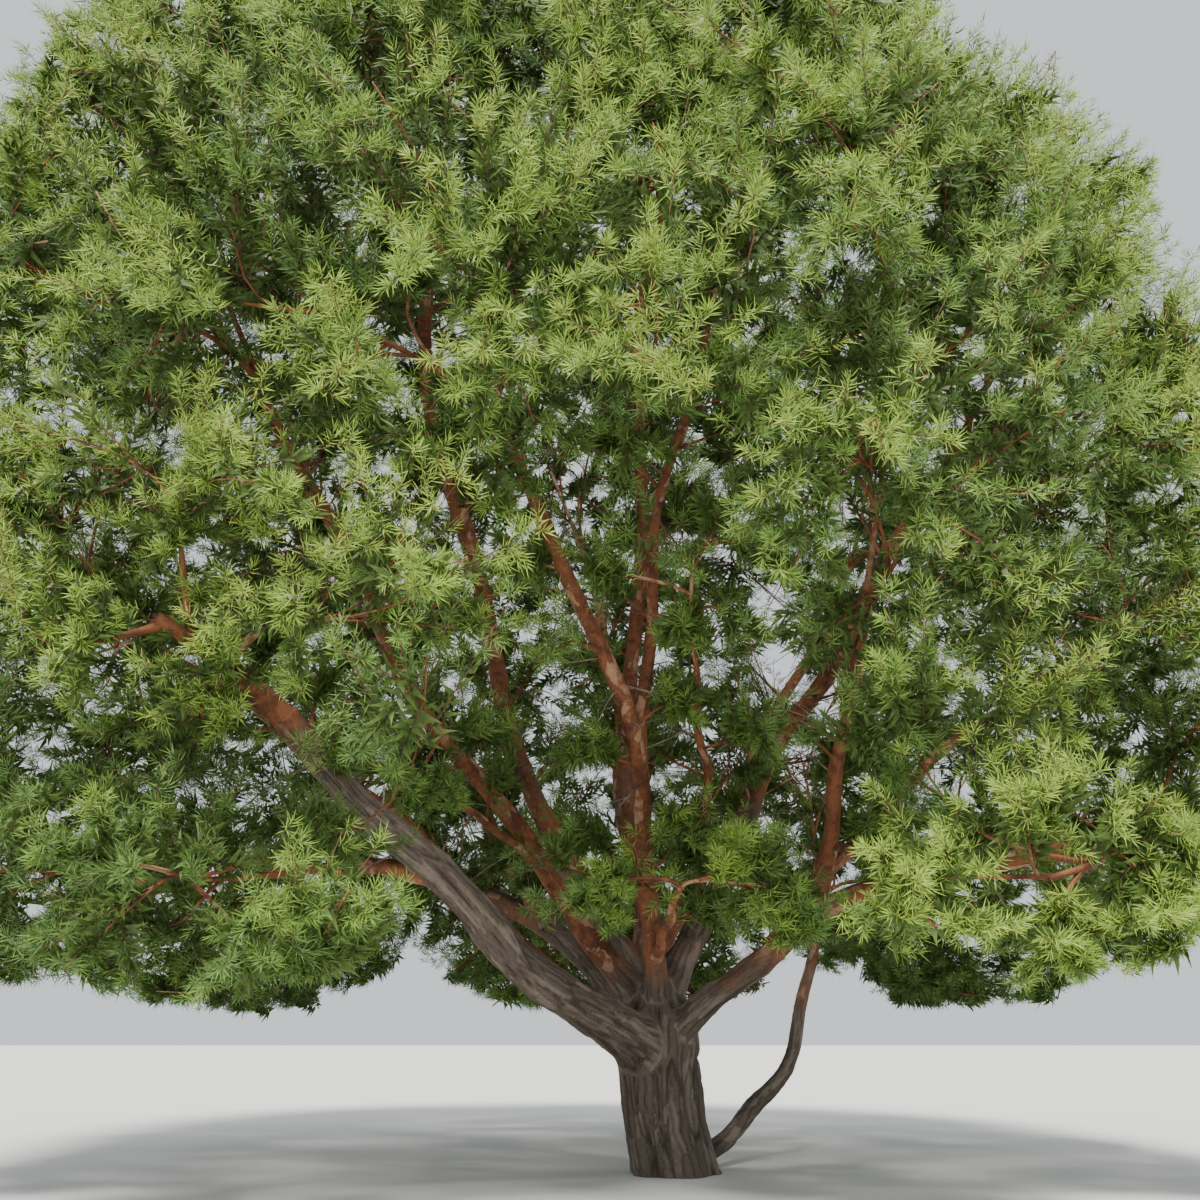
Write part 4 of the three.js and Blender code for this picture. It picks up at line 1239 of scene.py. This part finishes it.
let_clump = np.repeat(clump_number, BRANCHLETS)
rank = np.tile(np.arange(BRANCHLETS), len(clump_number))
let_mass = clump_mass[let_clump]
place = LET_FIRST + (1 - LET_FIRST) * (rank + chance(let_clump, rank, 71)) / BRANCHLETS
feet, ways = along_curves(branch_points, branch_tangents, let_clump, place)
fan = unit(0.7 * scatter(72, let_clump, rank) + even_directions(BRANCHLETS, 0)[rank]
           + 0.25 * axes[let_mass, 1] + 0.2 * UP)
pad = clump_size[let_clump] * (LET_SIZES[0] + LET_SIZES[1] * chance(let_clump, rank, 75))
tips = clump_points[let_clump] + fan * (pad[:, None] * LET_FLAT)
tips = held_in(let_mass, tips, LET_ROOM, let_clump >= fed_clumps)
span = np.linalg.norm(tips - feet, axis=1)[:, None]
knees = feet + ways * LET_KNEE * span - UP * LET_SAG * span
let_points, let_tangents = bend(feet, knees, tips, BRANCHLET_RINGS)
let_radii = np.broadcast_to(np.linspace(LET_THICK, LET_THIN, BRANCHLET_RINGS), let_points.shape[:2])

let = np.repeat(np.arange(len(feet)), SHOOTS)
rank = np.tile(np.arange(SHOOTS), len(feet))
last = rank == SHOOTS - 1
place = SHOOT_FIRST + SHOOT_SPAN * (rank + chance(let, rank, 81)) / (SHOOTS - 1)
shoot_feet, ways = along_curves(let_points, let_tangents, let, np.where(last, 1.0, place))
shoot_mass = let_mass[let]
side = scatter(82, let, rank)
side = unit(side - ways * (side * ways).sum(-1, keepdims=True))
lean_out = np.where(last, TIP_LEAN, SIDE_LEAN)[:, None]
shoot_ways = unit(0.6 * ways + lean_out * side + 0.45 * UP + 0.2 * axes[shoot_mass, 1])
shoot_length = SHOOT_LENGTHS[0] + SHOOT_LENGTHS[1] * chance(let, rank, 85)
on_sprout = let_clump[let] >= fed_clumps
shoot_tips = held_in(shoot_mass, shoot_feet + shoot_ways * shoot_length[:, None], SHOOT_ROOM, on_sprout)
print(len(feet), "branchlets and", len(shoot_feet), "shoots")

# %% [markdown]
# ## Gaps and light decide which shoots live
# Shoots are first dropped in the gaps and in front of some stretches of the red limbs, so that the
# limbs show. A pine also keeps needles only where light reaches them, so the inside of its crown is
# thin. The crown is counted into small cubes of air. From each shoot, lines run out in many
# directions, and the needle area in the cubes on the way says how much light comes in. The shoots
# with least light are dropped. Those in line with few others get a bonus, in rounds, which evens out
# the crown, and the light from the sky is kept for the greens.

# %% Drop the shoots in the gaps and before the limbs
SEEN_LIMBS = {"north_west_limb": (0.15, 0.95), "rear_limb": (0.2, 0.7), "front_limb": (0.1, 0.8),
              "front_red_bough": (0.05, 0.7), "north_east_limb": (0.12, 0.85), "west_limb": (0.35, 0.72),
              "west_far_bough": (0.1, 0.6), "west_low_bough": (0.1, 0.5), "east_red_bough": (0.1, 0.6),
              "leader_limb": (0.15, 0.6), "west_inner_bough": (0.1, 0.7)}
SEEN_STEP = 0.15
SEEN_STRETCH = 0.9
SEEN_FROM = -0.15
SEEN_PAST = 0.07
SEEN_LEAK = 0.12


def before_limbs(points):
    """Whether points hide a stretch of a limb that the eye should see: nearer than it, and within its
    radius and SEEN_PAST of the line of sight to it. Smooth noise along a limb picks the stretches."""
    hides = np.zeros(len(points), bool)
    angles, far = view_angles(points), np.linalg.norm(points - EYE, axis=1)
    for name, (first, last) in SEEN_LIMBS.items():
        limb = limbs[name]
        share = np.arange(first, last, SEEN_STEP / limb.length)
        places, radii = limb.point(share), limb.radius_at(share)
        shown = noise(places, SEEN_STRETCH, 100) > SEEN_FROM
        for place, radius in zip(places[shown], radii[shown]):
            reach = np.linalg.norm(place - EYE)
            away = np.linalg.norm(angles - view_angles(place), axis=1)
            hides |= (away < (radius + SEEN_PAST) / reach) & (far < reach)
    return hides


shoot_number = np.arange(len(shoot_feet))
shoot_middles = (shoot_feet + shoot_tips) / 2
open_sky = in_gap(shoot_middles) & (chance(shoot_number, 87) > GAP_LEAK)
open_sky |= before_limbs(shoot_middles) & (chance(shoot_number, 101) > SEEN_LEAK)
print("shoots dropped for the gaps and before the limbs:", open_sky.sum())

# %% Light through the crown
AIR_CELL = 0.4
LIGHT_WAYS = 28
LIGHT_STEPS = 36
SHOOT_AREA = 0.022
SHOOTS_KEPT = 60000
SPROUT_BONUS = 0.35
LOW_BONUS, LOW_CROWN = 0.2, (5.5, 4)
SPROUT_KEPT = 0.55
TIE_BREAK = 0.02
DROPPED = -99
SUN, SUN_SPREAD = unit(np.array([0.0, -0.62, 1.0])), 0.35


def light_from(points, ways):
    """The share of light that reaches each point from each way: e to the minus half the needle area
    in the cubes that the line passes on its way out."""
    low = points.min(axis=0) - AIR_CELL
    cell = np.floor((points - low) / AIR_CELL).astype(int)
    shape = cell.max(axis=0) + 2
    flat = np.ravel_multi_index(cell.T, shape)
    leafage = np.bincount(flat, minlength=shape.prod()) * SHOOT_AREA / AIR_CELL ** 3
    light = np.empty((len(ways), len(points)))
    for row, way in enumerate(ways):
        passed = np.zeros(len(points))
        for step in range(1, LIGHT_STEPS):
            cell = np.floor((points - low + way * step * AIR_CELL) / AIR_CELL).astype(int)
            inside = ((cell >= 0) & (cell < shape)).all(axis=1)
            cell = np.clip(cell, 0, shape - 1)
            passed += np.where(inside, leafage[np.ravel_multi_index(cell.T, shape)], 0)
        light[row] = np.exp(-0.5 * AIR_CELL * passed)
    return light


THIN_CELL = 0.22
THIN_SCALE = 15.5
THIN_COUNT = 5.0
THIN_ROUNDS = 6
THIN_SIDES = ((1, 2), (0, 2))
THIN_BONUSES = (0.22, 0.08, 0.08)
THIN_RIM, THIN_RIM_LOSS = (0.82, 0.98), 0.45
CELLS = 1024


def view_cells(points):
    """The cell that each point falls in, for the view from the eye, from the side and from behind."""
    seen = points - EYE
    views = [(seen[:, 0] / seen[:, 1] * THIN_SCALE, seen[:, 2] / seen[:, 1] * THIN_SCALE)]
    views += [(points[:, across], points[:, up]) for across, up in THIN_SIDES]
    return [(np.floor(rows / THIN_CELL).astype(int) + CELLS // 2) * CELLS
            + np.floor(columns / THIN_CELL).astype(int) + CELLS // 2 for rows, columns in views]


def thin_places(points, counted):
    """How thin the crown is along the lines of sight through each point: for each view, its bonus
    times e to the minus the number of counted points in the point's cell over THIN_COUNT. Near the
    crown's rim, where every crown is thin, it counts less."""
    thin = sum(bonus * np.exp(-np.bincount(there, minlength=CELLS ** 2)[here] / THIN_COUNT)
               for bonus, here, there in zip(THIN_BONUSES, view_cells(points), view_cells(counted)))
    return thin * (1 - THIN_RIM_LOSS * ease(*THIN_RIM, crown_depth(points)))


ways = even_directions(LIGHT_WAYS, 0.3)
light = light_from(shoot_middles, ways)
best_light = np.sort(light, axis=0)[-3:].mean(axis=0) + TIE_BREAK * chance(shoot_number, 86)
best_light += SPROUT_BONUS * on_sprout + LOW_BONUS * ease(*LOW_CROWN, shoot_middles[:, 2])
best_light[open_sky | (on_sprout & (chance(shoot_number, 89) > SPROUT_KEPT))] = DROPPED
for _ in range(THIN_ROUNDS):
    alive = best_light > np.sort(best_light)[-SHOOTS_KEPT]
    best_light += thin_places(shoot_middles, shoot_middles[alive])
alive = best_light > np.sort(best_light)[-SHOOTS_KEPT]
# The light that each shoot gets, weighted towards the key, picks its green below: painted light and shade.
weights = np.maximum(0, ways @ SUN + SUN_SPREAD)
sky_light = (light * weights[:, None]).sum(axis=0) / weights.sum()
let, shoot_mass, shoot_feet, shoot_tips, shoot_middles, sky_light = (
    values[alive] for values in (let, shoot_mass, shoot_feet, shoot_tips, shoot_middles, sky_light))
print("of them on sprouts:", (on_sprout & alive).sum())
print("shoots kept:", len(let), "and the light they get:", np.percentile(sky_light, [5, 50, 95]).round(2))

# %% [markdown]
# ## Brushes of needles
# A shoot carries its needles like a bottle brush. They stand well out at its foot and close in round its
# tip, each a golden angle on from the last, which is how the real pairs are set. A needle is one long
# three-cornered blade, widest a quarter of the way along it. It is larger than life, since there are a
# million here and many more on the tree. Each brush takes one of five greens, from dark to light, and the
# choice paints light and shade: it goes by the light that reaches the shoot, by painted shade or light for
# the mass and the soft patch that it is in, and by chance. So the sunny side of a clump is painted a
# lighter, yellower green than its shaded heart.

# %% Blades on the shoots
NEEDLES = 16
NEEDLE_LENGTH = 0.112
NEEDLE_WIDTH = 0.0098
BELLY = 0.25
NEEDLES_FROM, NEEDLES_OVER = 0.08, 0.9
TILT_FOOT, TILT_FALL, TILT_POWER = 80, 58, 1.2
NEEDLE_RISE = 0.1
FACING_SPREAD = 1.05
LOW_SIZE, HIGH_SIZE, SIZE_HEIGHTS = 1.05, 1.22, (2.5, 13)

def brushes(feet, tips, key, needles=NEEDLES, length=NEEDLE_LENGTH, width=NEEDLE_WIDTH,
            over=NEEDLES_OVER):
    """Three corners for each needle of each shoot. The angle from the shoot falls from wide at its
    foot to narrow at its tip, and the turn round it grows by the golden angle. Each needle is rolled
    so that its flat side faces away from the crown's axis, give or take FACING_SPREAD, and high in the
    crown, where there is most light, it is somewhat longer."""
    ways = unit(tips - feet + 1e-9)
    level = np.where(np.abs(ways[:, 2:]) > 0.9, [[1.0, 0.0, 0.0]], [[0.0, 0.0, 1.0]])
    right = unit(np.cross(ways, level))
    ahead = np.cross(ways, right)
    index = np.arange(needles)
    share = (index + 0.5) / needles
    tilt = np.radians(TILT_FOOT - TILT_FALL * share ** TILT_POWER)
    tilt = tilt + 0.2 * spread(key[:, None], index, 91)
    turn = GOLDEN_ANGLE * index + 2 * np.pi * chance(key, 92)[:, None]
    turn = turn + 0.5 * spread(key[:, None], index, 93)
    out = right[:, None] * np.cos(turn)[..., None] + ahead[:, None] * np.sin(turn)[..., None]
    needle = unit(ways[:, None] * np.cos(tilt)[..., None] + out * np.sin(tilt)[..., None]
                  + [0, 0, NEEDLE_RISE])
    growth = LOW_SIZE + (HIGH_SIZE - LOW_SIZE) * ease(*SIZE_HEIGHTS, feet[:, 2])
    reach = growth[:, None] * length * (0.8 + 0.4 * chance(key[:, None], index, 94))
    root = feet[:, None] + (tips - feet)[:, None] * (NEEDLES_FROM + over * share)[None, :, None]
    away = feet[:, :2] - CROWN_MIDDLE[:2]
    bearing = np.arctan2(away[:, 1], away[:, 0])[:, None]
    bearing = bearing + FACING_SPREAD * spread(key[:, None], index, 97)
    facing = np.stack([np.cos(bearing), np.sin(bearing), np.zeros_like(bearing)], axis=-1)
    flat = unit(np.cross(needle, facing) + 1e-9) * (width * growth)[:, None, None]
    belly = root + needle * BELLY * reach[..., None] + flat
    corners = np.stack([root, belly, root + needle * reach[..., None]], axis=2)
    return corners.reshape(-1, 3, 3)


# Wide soft patches of noise make the greens darker or lighter: painted shade in the creases between clumps
# and painted light on their swells.
PATCH_SIZE, PATCH_PAINTED_SHADING = 1.5, 0.34
SHADE_TINT, LIGHT_TINT, LIGHT_RANGE = 0.27, 0.66, (0.02, 0.7)
TWIG_CHANCE, SHOOT_CHANCE = 0.16, 0.14
# Some whole masses are given darker greens as painted shade, and others lighter greens as painted light.
MASS_PAINTED_SHADING = {"low_1": -0.44, "low_2": -0.4, "low_3": 0.14, "low_4": 0.16, "middle_1": 0.22,
                "middle_2": 0.14, "middle_4": 0.2, "middle_5": 0.2, "middle_8": -0.08,
                "high_1": -0.08, "high_5": 0.2}
mass_painted_shading = np.array([MASS_PAINTED_SHADING.get(name, 0.0) for name in mass_names])


def shade_tint_of(sky_light, feet, mass, key, group):
    """A step from 0, the darkest, to 4, the lightest green, which paints light and shade into the needles:
    by the light from the sky, by painted shade or light for the mass that the shoot is in, by wide soft
    patches of painted shade and light, and by two throws of chance, one for its branchlet and one of its
    own."""
    score = SHADE_TINT + LIGHT_TINT * ease(*LIGHT_RANGE, sky_light)
    score = score + TWIG_CHANCE * spread(group, 95) + SHOOT_CHANCE * spread(key, 96)
    score += mass_painted_shading[mass] + PATCH_PAINTED_SHADING * noise(feet, PATCH_SIZE, 99)
    return np.clip(np.floor(5 * score), 0, 4).astype(int)


shoot_key = np.arange(len(shoot_feet))
shoot_shade_tint = shade_tint_of(sky_light, shoot_feet, shoot_mass, shoot_key, let)
print("shoots of each green:", np.bincount(shoot_shade_tint, minlength=5))

# %% Needle greens
needle_group, given, result = new_group(
    "Needle green", {"Tip": 0.5, "Foot Colour": (0.05, 0.08, 0.02, 1), "Tip Colour": (0.12, 0.2, 0.05, 1)},
    {"Colour": "Color"})
drift = grain(needle_group, 1.3, 2.0)
speckle = grain(needle_group, 25.0, 3.0)
along = math_node(needle_group, "ADD", given["Tip"], math_node(needle_group, "SUBTRACT", speckle, 0.5))
blade = mix(needle_group, ramp(needle_group, along, 0.0, 0.9), given["Foot Colour"], given["Tip Colour"])
blade = mix(needle_group, ramp(needle_group, drift, 0.35, 0.7, 0.0, 0.35), blade, given["Foot Colour"])
needle_group.links.new(blade, result["Colour"])

# Five greens from dark to light: shaded and lit copies of one needle colour, so the choice of green is
# painted light and shade.
GREENS = {
    "shaded": ((0.062, 0.108, 0.021), (0.126, 0.228, 0.046)),
    "blue_green": ((0.084, 0.156, 0.038), (0.174, 0.322, 0.082)),
    "mid_green": ((0.116, 0.196, 0.034), (0.250, 0.425, 0.076)),
    "lit_green": ((0.144, 0.228, 0.036), (0.322, 0.508, 0.084)),
    "sunlit": ((0.188, 0.270, 0.040), (0.440, 0.626, 0.106)),
}


def needle_material(name, foot, tip):
    """Needles of one green, darker at the foot, with a soft gloss."""
    material, tree, shader = new_material(name + " needles",
                                          {"Roughness": 0.55, "Specular IOR Level": 0.3})
    green = place_group(tree, needle_group, ["Tip"], {"Foot Colour": foot, "Tip Colour": tip})
    tree.links.new(green.outputs["Colour"], shader.inputs["Base Color"])
    return material


# %% Make the needles
REGIONS = {"lower": ("low", "middle", "inner"), "upper": ("high", "upper", "top")}
region_masses = {region: [i for i, name in enumerate(mass_names) if name.split("_")[0] in tiers]
                 for region, tiers in REGIONS.items()}


def needle_nodes(members):
    """The solids that a region's pieces stand for, one for each of its masses."""
    return [f"needles_{mass_names[i]}" for i in members]


def needle_piece(name, corners, material, members):
    """One joined piece of needles, each with a value that runs from 0 at its foot to 1 at its tip."""
    faces = np.arange(corners.size // 3).reshape(-1, 3)
    values = {"tip": np.tile([0.0, BELLY, 1.0], len(corners))}
    piece = put_mesh(name, corners, [faces], values, smooth=False)
    return finish_piece(piece, material, needle_nodes(members))


total = 0
# Each green makes its own pieces: lit and shaded copies of one needle colour, with painted light and
# shade.
for step, (green, (foot, tip)) in enumerate(GREENS.items()):
    material = needle_material(green, foot, tip)
    for region, members in region_masses.items():
        mine = (shoot_shade_tint == step) & np.isin(shoot_mass, members)
        corners = brushes(shoot_feet[mine], shoot_tips[mine], shoot_key[mine])
        total += needle_piece(f"{region}_{green}_needles", corners, material, members)
print("needles on shoots have", total, "triangles")

# %% Make the inner needles, dark green as painted shade
CORES = 8000
CORE_NEEDLES, CORE_LENGTH, CORE_WIDTH, CORE_OVER = 28, 0.18, 0.05, 0.62
CORE_KEY = 100000
NEED_ALWAYS, NEED_LOW, NEED_CHANCE = 0.02, 0.05, 0.001
# These needles fill the crown's inside, and their dark green is painted shade, so that the gaps between
# clumps read as shadow.
material = needle_material("inner", (0.046, 0.080, 0.014), (0.106, 0.180, 0.033))
let_key = np.arange(len(let_points))
leafy = np.isin(let_key, let)
let_middles = let_points.mean(axis=1)
need = NEED_ALWAYS + NEED_LOW * ease(*LOW_CROWN, let_middles[:, 2])
need = need + thin_places(let_middles, shoot_middles) + NEED_CHANCE * chance(let_key, 98)
need[~leafy | in_gap(let_middles, GAP_BARE) | before_limbs(let_middles)] = 0
cored = need > np.sort(need)[-CORES]
for region, members in region_masses.items():
    mine = cored & np.isin(let_mass, members)
    corners = brushes(let_points[mine, 0], let_points[mine, -1], let_key[mine] + CORE_KEY,
                      CORE_NEEDLES, CORE_LENGTH, CORE_WIDTH, CORE_OVER)
    total += needle_piece(f"{region}_inner_needles", corners, material, members)
print("needles have", total, "triangles")

# %% Make the wood that carries the needles
SHOOT_RADIUS = 0.004
WOOD_SIDES, BRANCH_SIDES, LET_SIDES = 8, 5, 3
twig_total = 0


def tube_part(points, tangents, radii, sides, tone=0.0):
    """Tubes ready to be joined, with young bark, no furrows, and the given tone."""
    rings = tube_rings(points, tangents, radii, sides)
    tone = np.broadcast_to(tone, rings.shape[:3])
    return rings, grid_faces(*rings.shape[:3]), {"age": 0 * tone, "furrow": 0 * tone, "tone": tone}


def sliver_part(feet, tips):
    """A shoot is one long sliver: every other corner of a ring of four, and the tip."""
    ends = np.stack([feet, tips], axis=1)
    way = np.repeat(unit(ends[:, 1:] - ends[:, :1] + 1e-9), 2, axis=1)
    rings = tube_rings(ends, way, np.full(ends.shape[:2], SHOOT_RADIUS), 4)[:, 0]
    slivers = np.concatenate([rings, ends[:, 1:]], axis=1)
    faces = np.arange(len(slivers))[:, None] * 5 + np.array([0, 2, 4])
    return slivers, [faces], {key: np.full(slivers.shape[:2], 0.5) for key in ("age", "furrow", "tone")}


for region, members in region_masses.items():
    parts = []
    for points, tangents, radii, sides, owner_mass in (
            (wood_points, wood_tangents, wood_radii, WOOD_SIDES, wood_mass),
            (branch_points, branch_tangents, branch_radii, BRANCH_SIDES, clump_mass)):
        mine = np.isin(owner_mass, members)
        tone = chance(np.arange(mine.sum()), 97)[:, None, None]
        parts.append(tube_part(points[mine], tangents[mine], radii[mine], sides, tone))
    piece = put_mesh(f"{region}_branches", *join(parts))
    twig_total += finish_piece(piece, limb_bark, needle_nodes(members))

    mine, shoots = leafy & np.isin(let_mass, members), np.isin(shoot_mass, members)
    piece = put_mesh(f"{region}_twigs", *join([
        tube_part(let_points[mine], let_tangents[mine], let_radii[mine], LET_SIDES),
        sliver_part(shoot_feet[shoots], shoot_tips[shoots])]))
    twig_total += finish_piece(piece, twig_bark, needle_nodes(members))
print("wood in the crown has", twig_total, "triangles")

# %% [markdown]
# ## Dead twigs
# Shaded twigs die but stay on an old pine for years, bare and pale, and they show against the dark
# inside of the crown. Each is a thin tapering tube from a limb, with two side twigs of its own. One
# longer dead twig and the stub of a lost bough are as the real tree has them.

# %% Make the dead twigs
DEAD_STEP = 0.42
DEAD_FIRST = 0.25
DEAD_LOWEST = 3.0
DEAD_RINGS = 5
DEAD_LENGTHS, DEAD_THICK = (0.25, 0.75), (0.011, 0.006)
DEAD_SIDES, SIDE_LENGTHS, SIDE_THICK = (0.5, 0.75), (0.12, 0.3), (0.006, 0.0045, 0.003)
MARKED_DEAD = [("north_west_limb", 0.62, (-0.35, -0.75, 0.35), 0.95, 0.03),
               ("rear_limb", 0.13, (-0.8, -0.35, 0.42), 0.85, 0.09)]
dead_bark = bark_material("dead twig bark", {"Orange": (0.30, 0.225, 0.17), "Rust": (0.15, 0.11, 0.085),
                                             "Flake": (0.42, 0.34, 0.27)}, 0.001)
dead = []
for number, (name, limb) in enumerate(limbs.items(), 1):
    share = np.arange(DEAD_FIRST, 0.97, DEAD_STEP / limb.length)
    rank = np.arange(len(share))
    tangent, right, ahead = limb.cross_axes(share)
    turn = (ANY_TURN * chance(number, rank, 101))[:, None]
    dead.append((
        limb.point(share),
        unit(right * np.cos(turn) + ahead * np.sin(turn) + 0.5 * tangent - [0, 0, 0.1]),
        limb.radius_at(share) + DEAD_LENGTHS[0] + DEAD_LENGTHS[1] * chance(number, rank, 102) ** 2,
        DEAD_THICK[0] + DEAD_THICK[1] * chance(number, rank, 103),
        np.full(len(share), name),
    ))
for name, share, way, length, radius in MARKED_DEAD:
    dead.append((limbs[name].point(share)[None], unit(np.array(way))[None],
                 [length + float(limbs[name].radius_at(share))], [radius], [name]))
feet, ways, lengths, thick, owner = (np.concatenate(values) for values in zip(*dead))
kept = feet[:, 2] > DEAD_LOWEST
feet, ways, lengths, thick, owner = (v[kept] for v in (feet, ways, lengths, thick, owner))
key = np.arange(len(feet))
droop = scatter(104, key) - [0, 0, 0.2]
ends = feet + ways * lengths[:, None] + 0.18 * droop * (lengths * (thick < 0.02))[:, None]
dead_points, dead_tangents = bend(feet, feet + ways * 0.5 * lengths[:, None], ends, DEAD_RINGS)
taper = np.linspace(0, 1, DEAD_RINGS) * np.where(thick < 0.05, 0.6, 0.25)[:, None]
tone = chance(key, 115)[:, None, None]
parts = [tube_part(dead_points, dead_tangents, thick[:, None] * (1 - taper), 6, tone)]
for side, at in enumerate(DEAD_SIDES):
    fork_at, fork_way = along_curves(dead_points, dead_tangents, key, np.full(len(key), at))
    lean = unit(fork_way + scatter(107 + 3 * side, key))
    reach = (SIDE_LENGTHS[0] + SIDE_LENGTHS[1] * chance(key, 113 + side))[:, None]
    tips = fork_at + reach * (lean + 0.1 * droop)
    points, tangents = bend(fork_at, fork_at + 0.5 * reach * lean, tips, len(SIDE_THICK))
    radii = np.broadcast_to(SIDE_THICK, points.shape[:2])
    parts.append(tube_part(points, tangents, radii, 3, tone))
piece = put_mesh("dead_twigs", *join(parts))
finish_piece(piece, dead_bark, sorted(set(owner.tolist())))

# %% [markdown]
# ## Camera, floor and light
# The viewer stands on the ground, closer to the tree than it is tall, and looks up at it, so the
# crown fills the frame and leans back. The floor and the sky are plain and pale. A broad soft key
# comes from above, in front, and the pale surroundings fill the shade.

# %% Camera
LOOK_UP = np.radians(19.8)
FILM_WIDTH, FOCAL_LENGTH = 36, 36.06
camera_data = bpy.data.cameras.new("camera")
camera_data.sensor_width = FILM_WIDTH
camera_data.lens = FOCAL_LENGTH
camera_data.clip_end = 500
camera = bpy.data.objects.new("camera", camera_data)
camera.location = EYE
camera.rotation_euler = (np.pi / 2 + LOOK_UP, 0, 0)
bpy.context.scene.collection.objects.link(camera)
bpy.context.scene.camera = camera

# %% Floor, sky and key light
FLOOR_REACH = 150.0
floor = put_mesh("floor", np.array([[-1, -1, 0], [1, -1, 0], [1, 1, 0], [-1, 1, 0]]) * FLOOR_REACH,
                 [np.array([[0, 1, 2, 3]])])
floor_paint, _, _ = new_material("pale floor", {"Base Color": (0.72, 0.72, 0.7, 1), "Roughness": 0.9})
floor.data.materials.append(floor_paint)

world = bpy.data.worlds.new("pale sky")
world.use_nodes = True
sky = world.node_tree.nodes["Background"].inputs
sky["Color"].default_value = (0.88, 0.92, 0.97, 1)
sky["Strength"].default_value = 0.98
bpy.context.scene.world = world

key_light = bpy.data.lights.new("key", "SUN")
key_light.energy = 6.2
key_light.angle = np.radians(12)
key_light.color = (1.0, 0.96, 0.88)
key = bpy.data.objects.new("key", key_light)
key.rotation_euler = Vector(SUN).to_track_quat("Z", "Y").to_euler()
bpy.context.scene.collection.objects.link(key)
